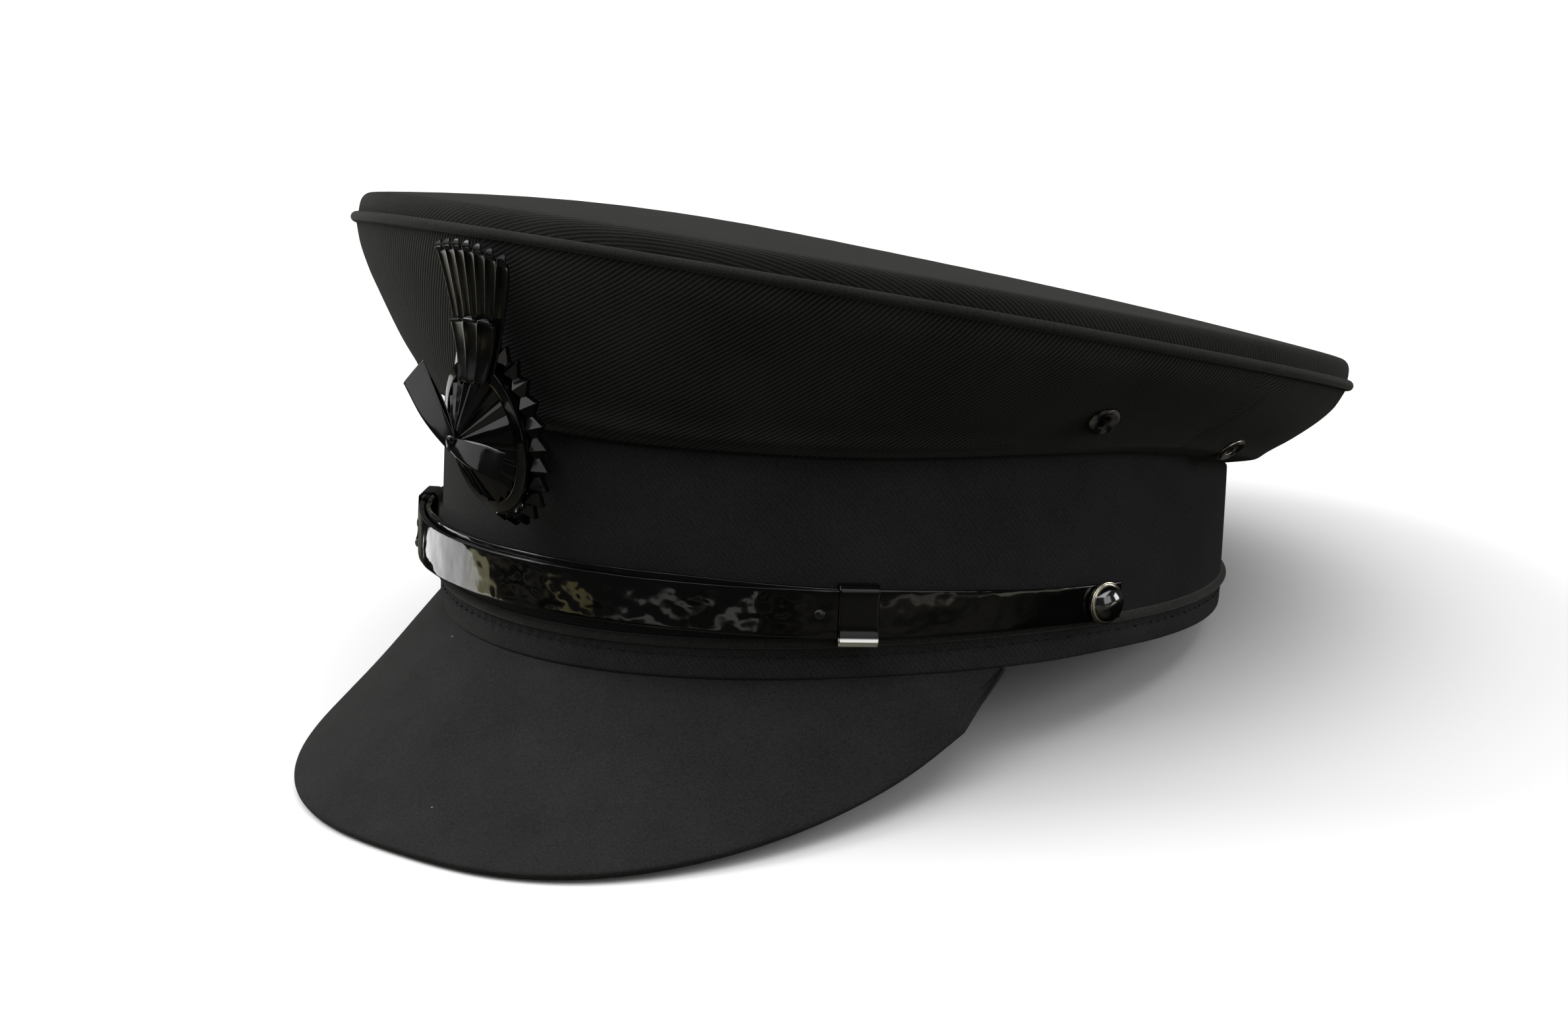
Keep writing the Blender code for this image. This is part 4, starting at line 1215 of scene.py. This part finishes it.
# Cockade plume
# Two fans of patent leather, pressed into flutes with a raised rim round each, seven behind and three
# shorter ones before them. Each flute ends in a rounded tip that curls forward.
PLUME_ROOT_RISE = 0.0135
PLUME_MIDDLE = 0.0012
PLUME_RELIEF = 0.00003
PLUME_GLOSS = 0.22
PETAL_ROWS = (
    # share of the height, share of the width, rim forward and whole row forward, in mm
    (0.000, 0.55, 0.15, 0.0),
    (0.200, 0.62, 0.25, 0.0),
    (0.450, 0.74, 0.35, 0.0),
    (0.700, 0.88, 0.40, 0.0),
    (0.850, 0.93, 0.40, 0.0),
    (0.905, 0.84, 0.40, 0.0),
    (0.925, 0.76, 0.30, 0.40),
    (0.948, 0.68, 0.10, 1.00),
    (0.976, 0.52, 0.0, 0.60),
    (1.000, 0.18, 0.0, -0.30),
)
PETAL_COLUMNS = (1.0, 0.30, 0.05, 0.0, 0.0, 0.10, 0.55)
PETAL_WALL = 0.0006
PETAL_OVERLAP = 1.06
LEAN_CURVE = 0.85
MILLIMETRE = 0.001
FAN_CURVE = math.radians(7)
FANS = (
    # name, node, petals, half width at the root and at the tips, rise of the tips, drop of the outer tips,
    # drop from the wearer's right to the left, forward of the plate, lean back of the tips
    ("plume_rear_fan", "cockade_plume", 7, 0.0040, 0.0110, 0.0450, 0.0021, 0.0008, 0.0057, 0.0051),
    ("plume_front_fan", "cockade_plume_front", 3, 0.0028, 0.0054, 0.0283, 0.0005, -0.0002, 0.0072, 0.0036),
)


def make_petal(width, height, lean_back):
    """A grid stood up along +Z, its rows drawn to the petal's outline and its edges raised as a rim."""
    bpy.ops.object.select_all(action="DESELECT")
    rows = len(PETAL_ROWS)
    columns = len(PETAL_COLUMNS)
    bpy.ops.mesh.primitive_grid_add(
        x_subdivisions=columns - 1,
        y_subdivisions=rows - 1,
        size=1.0,
        rotation=(math.pi / 2, 0.0, 0.0),
    )
    petal = bpy.context.object
    fix_in_place(petal)
    for vertex in petal.data.vertices:
        share, wide, rim, forward = PETAL_ROWS[round((vertex.co.z + 0.5) * (rows - 1))]
        out = 2 * vertex.co.x
        raised = (PETAL_COLUMNS[round((out + 1) / 2 * (columns - 1))] * rim + forward) * MILLIMETRE
        vertex.co = (
            out * wide * width / 2,
            lean_back * math.sin(math.pi / 2 * share**LEAN_CURVE) - raised,
            share * height,
        )
    return petal


plume_patent = patent_leather("plume_patent", PLUME_RELIEF, 0.004, 0.20, PLUME_GLOSS)
for fan_name, node, count, root_half, tip_half, tips, drop, slope, forward, lean_back in FANS:
    petals = []
    for number in range(count):
        out = 2 * number / (count - 1) - 1
        bend = out * out * FAN_CURVE / 2
        root = Vector((PLUME_MIDDLE + out * root_half, root_half * bend - forward, PLUME_ROOT_RISE))
        tip_height = tips - drop * out * out - slope * out
        tip = Vector((PLUME_MIDDLE + out * tip_half, tip_half * bend - forward, tip_height))
        along = tip - root
        petal = make_petal(PETAL_OVERLAP * 2 * tip_half / (count - 1), along.length, lean_back + along.y)
        apply_modifier(petal, "SOLIDIFY", thickness=PETAL_WALL, offset=-1.0)
        smooth_out(petal)
        swing = math.atan2(along.x, along.z)
        turned = Matrix.Rotation(swing, 4, "Y") @ Matrix.Rotation(out * FAN_CURVE, 4, "Z")
        petal.matrix_world = Matrix.Translation(root) @ turned
        set_in_badge(petal)
        petals.append(petal)
    fan = join_up(petals)
    hand_over(fan, fan_name, plume_patent, "cockade_leather", node)
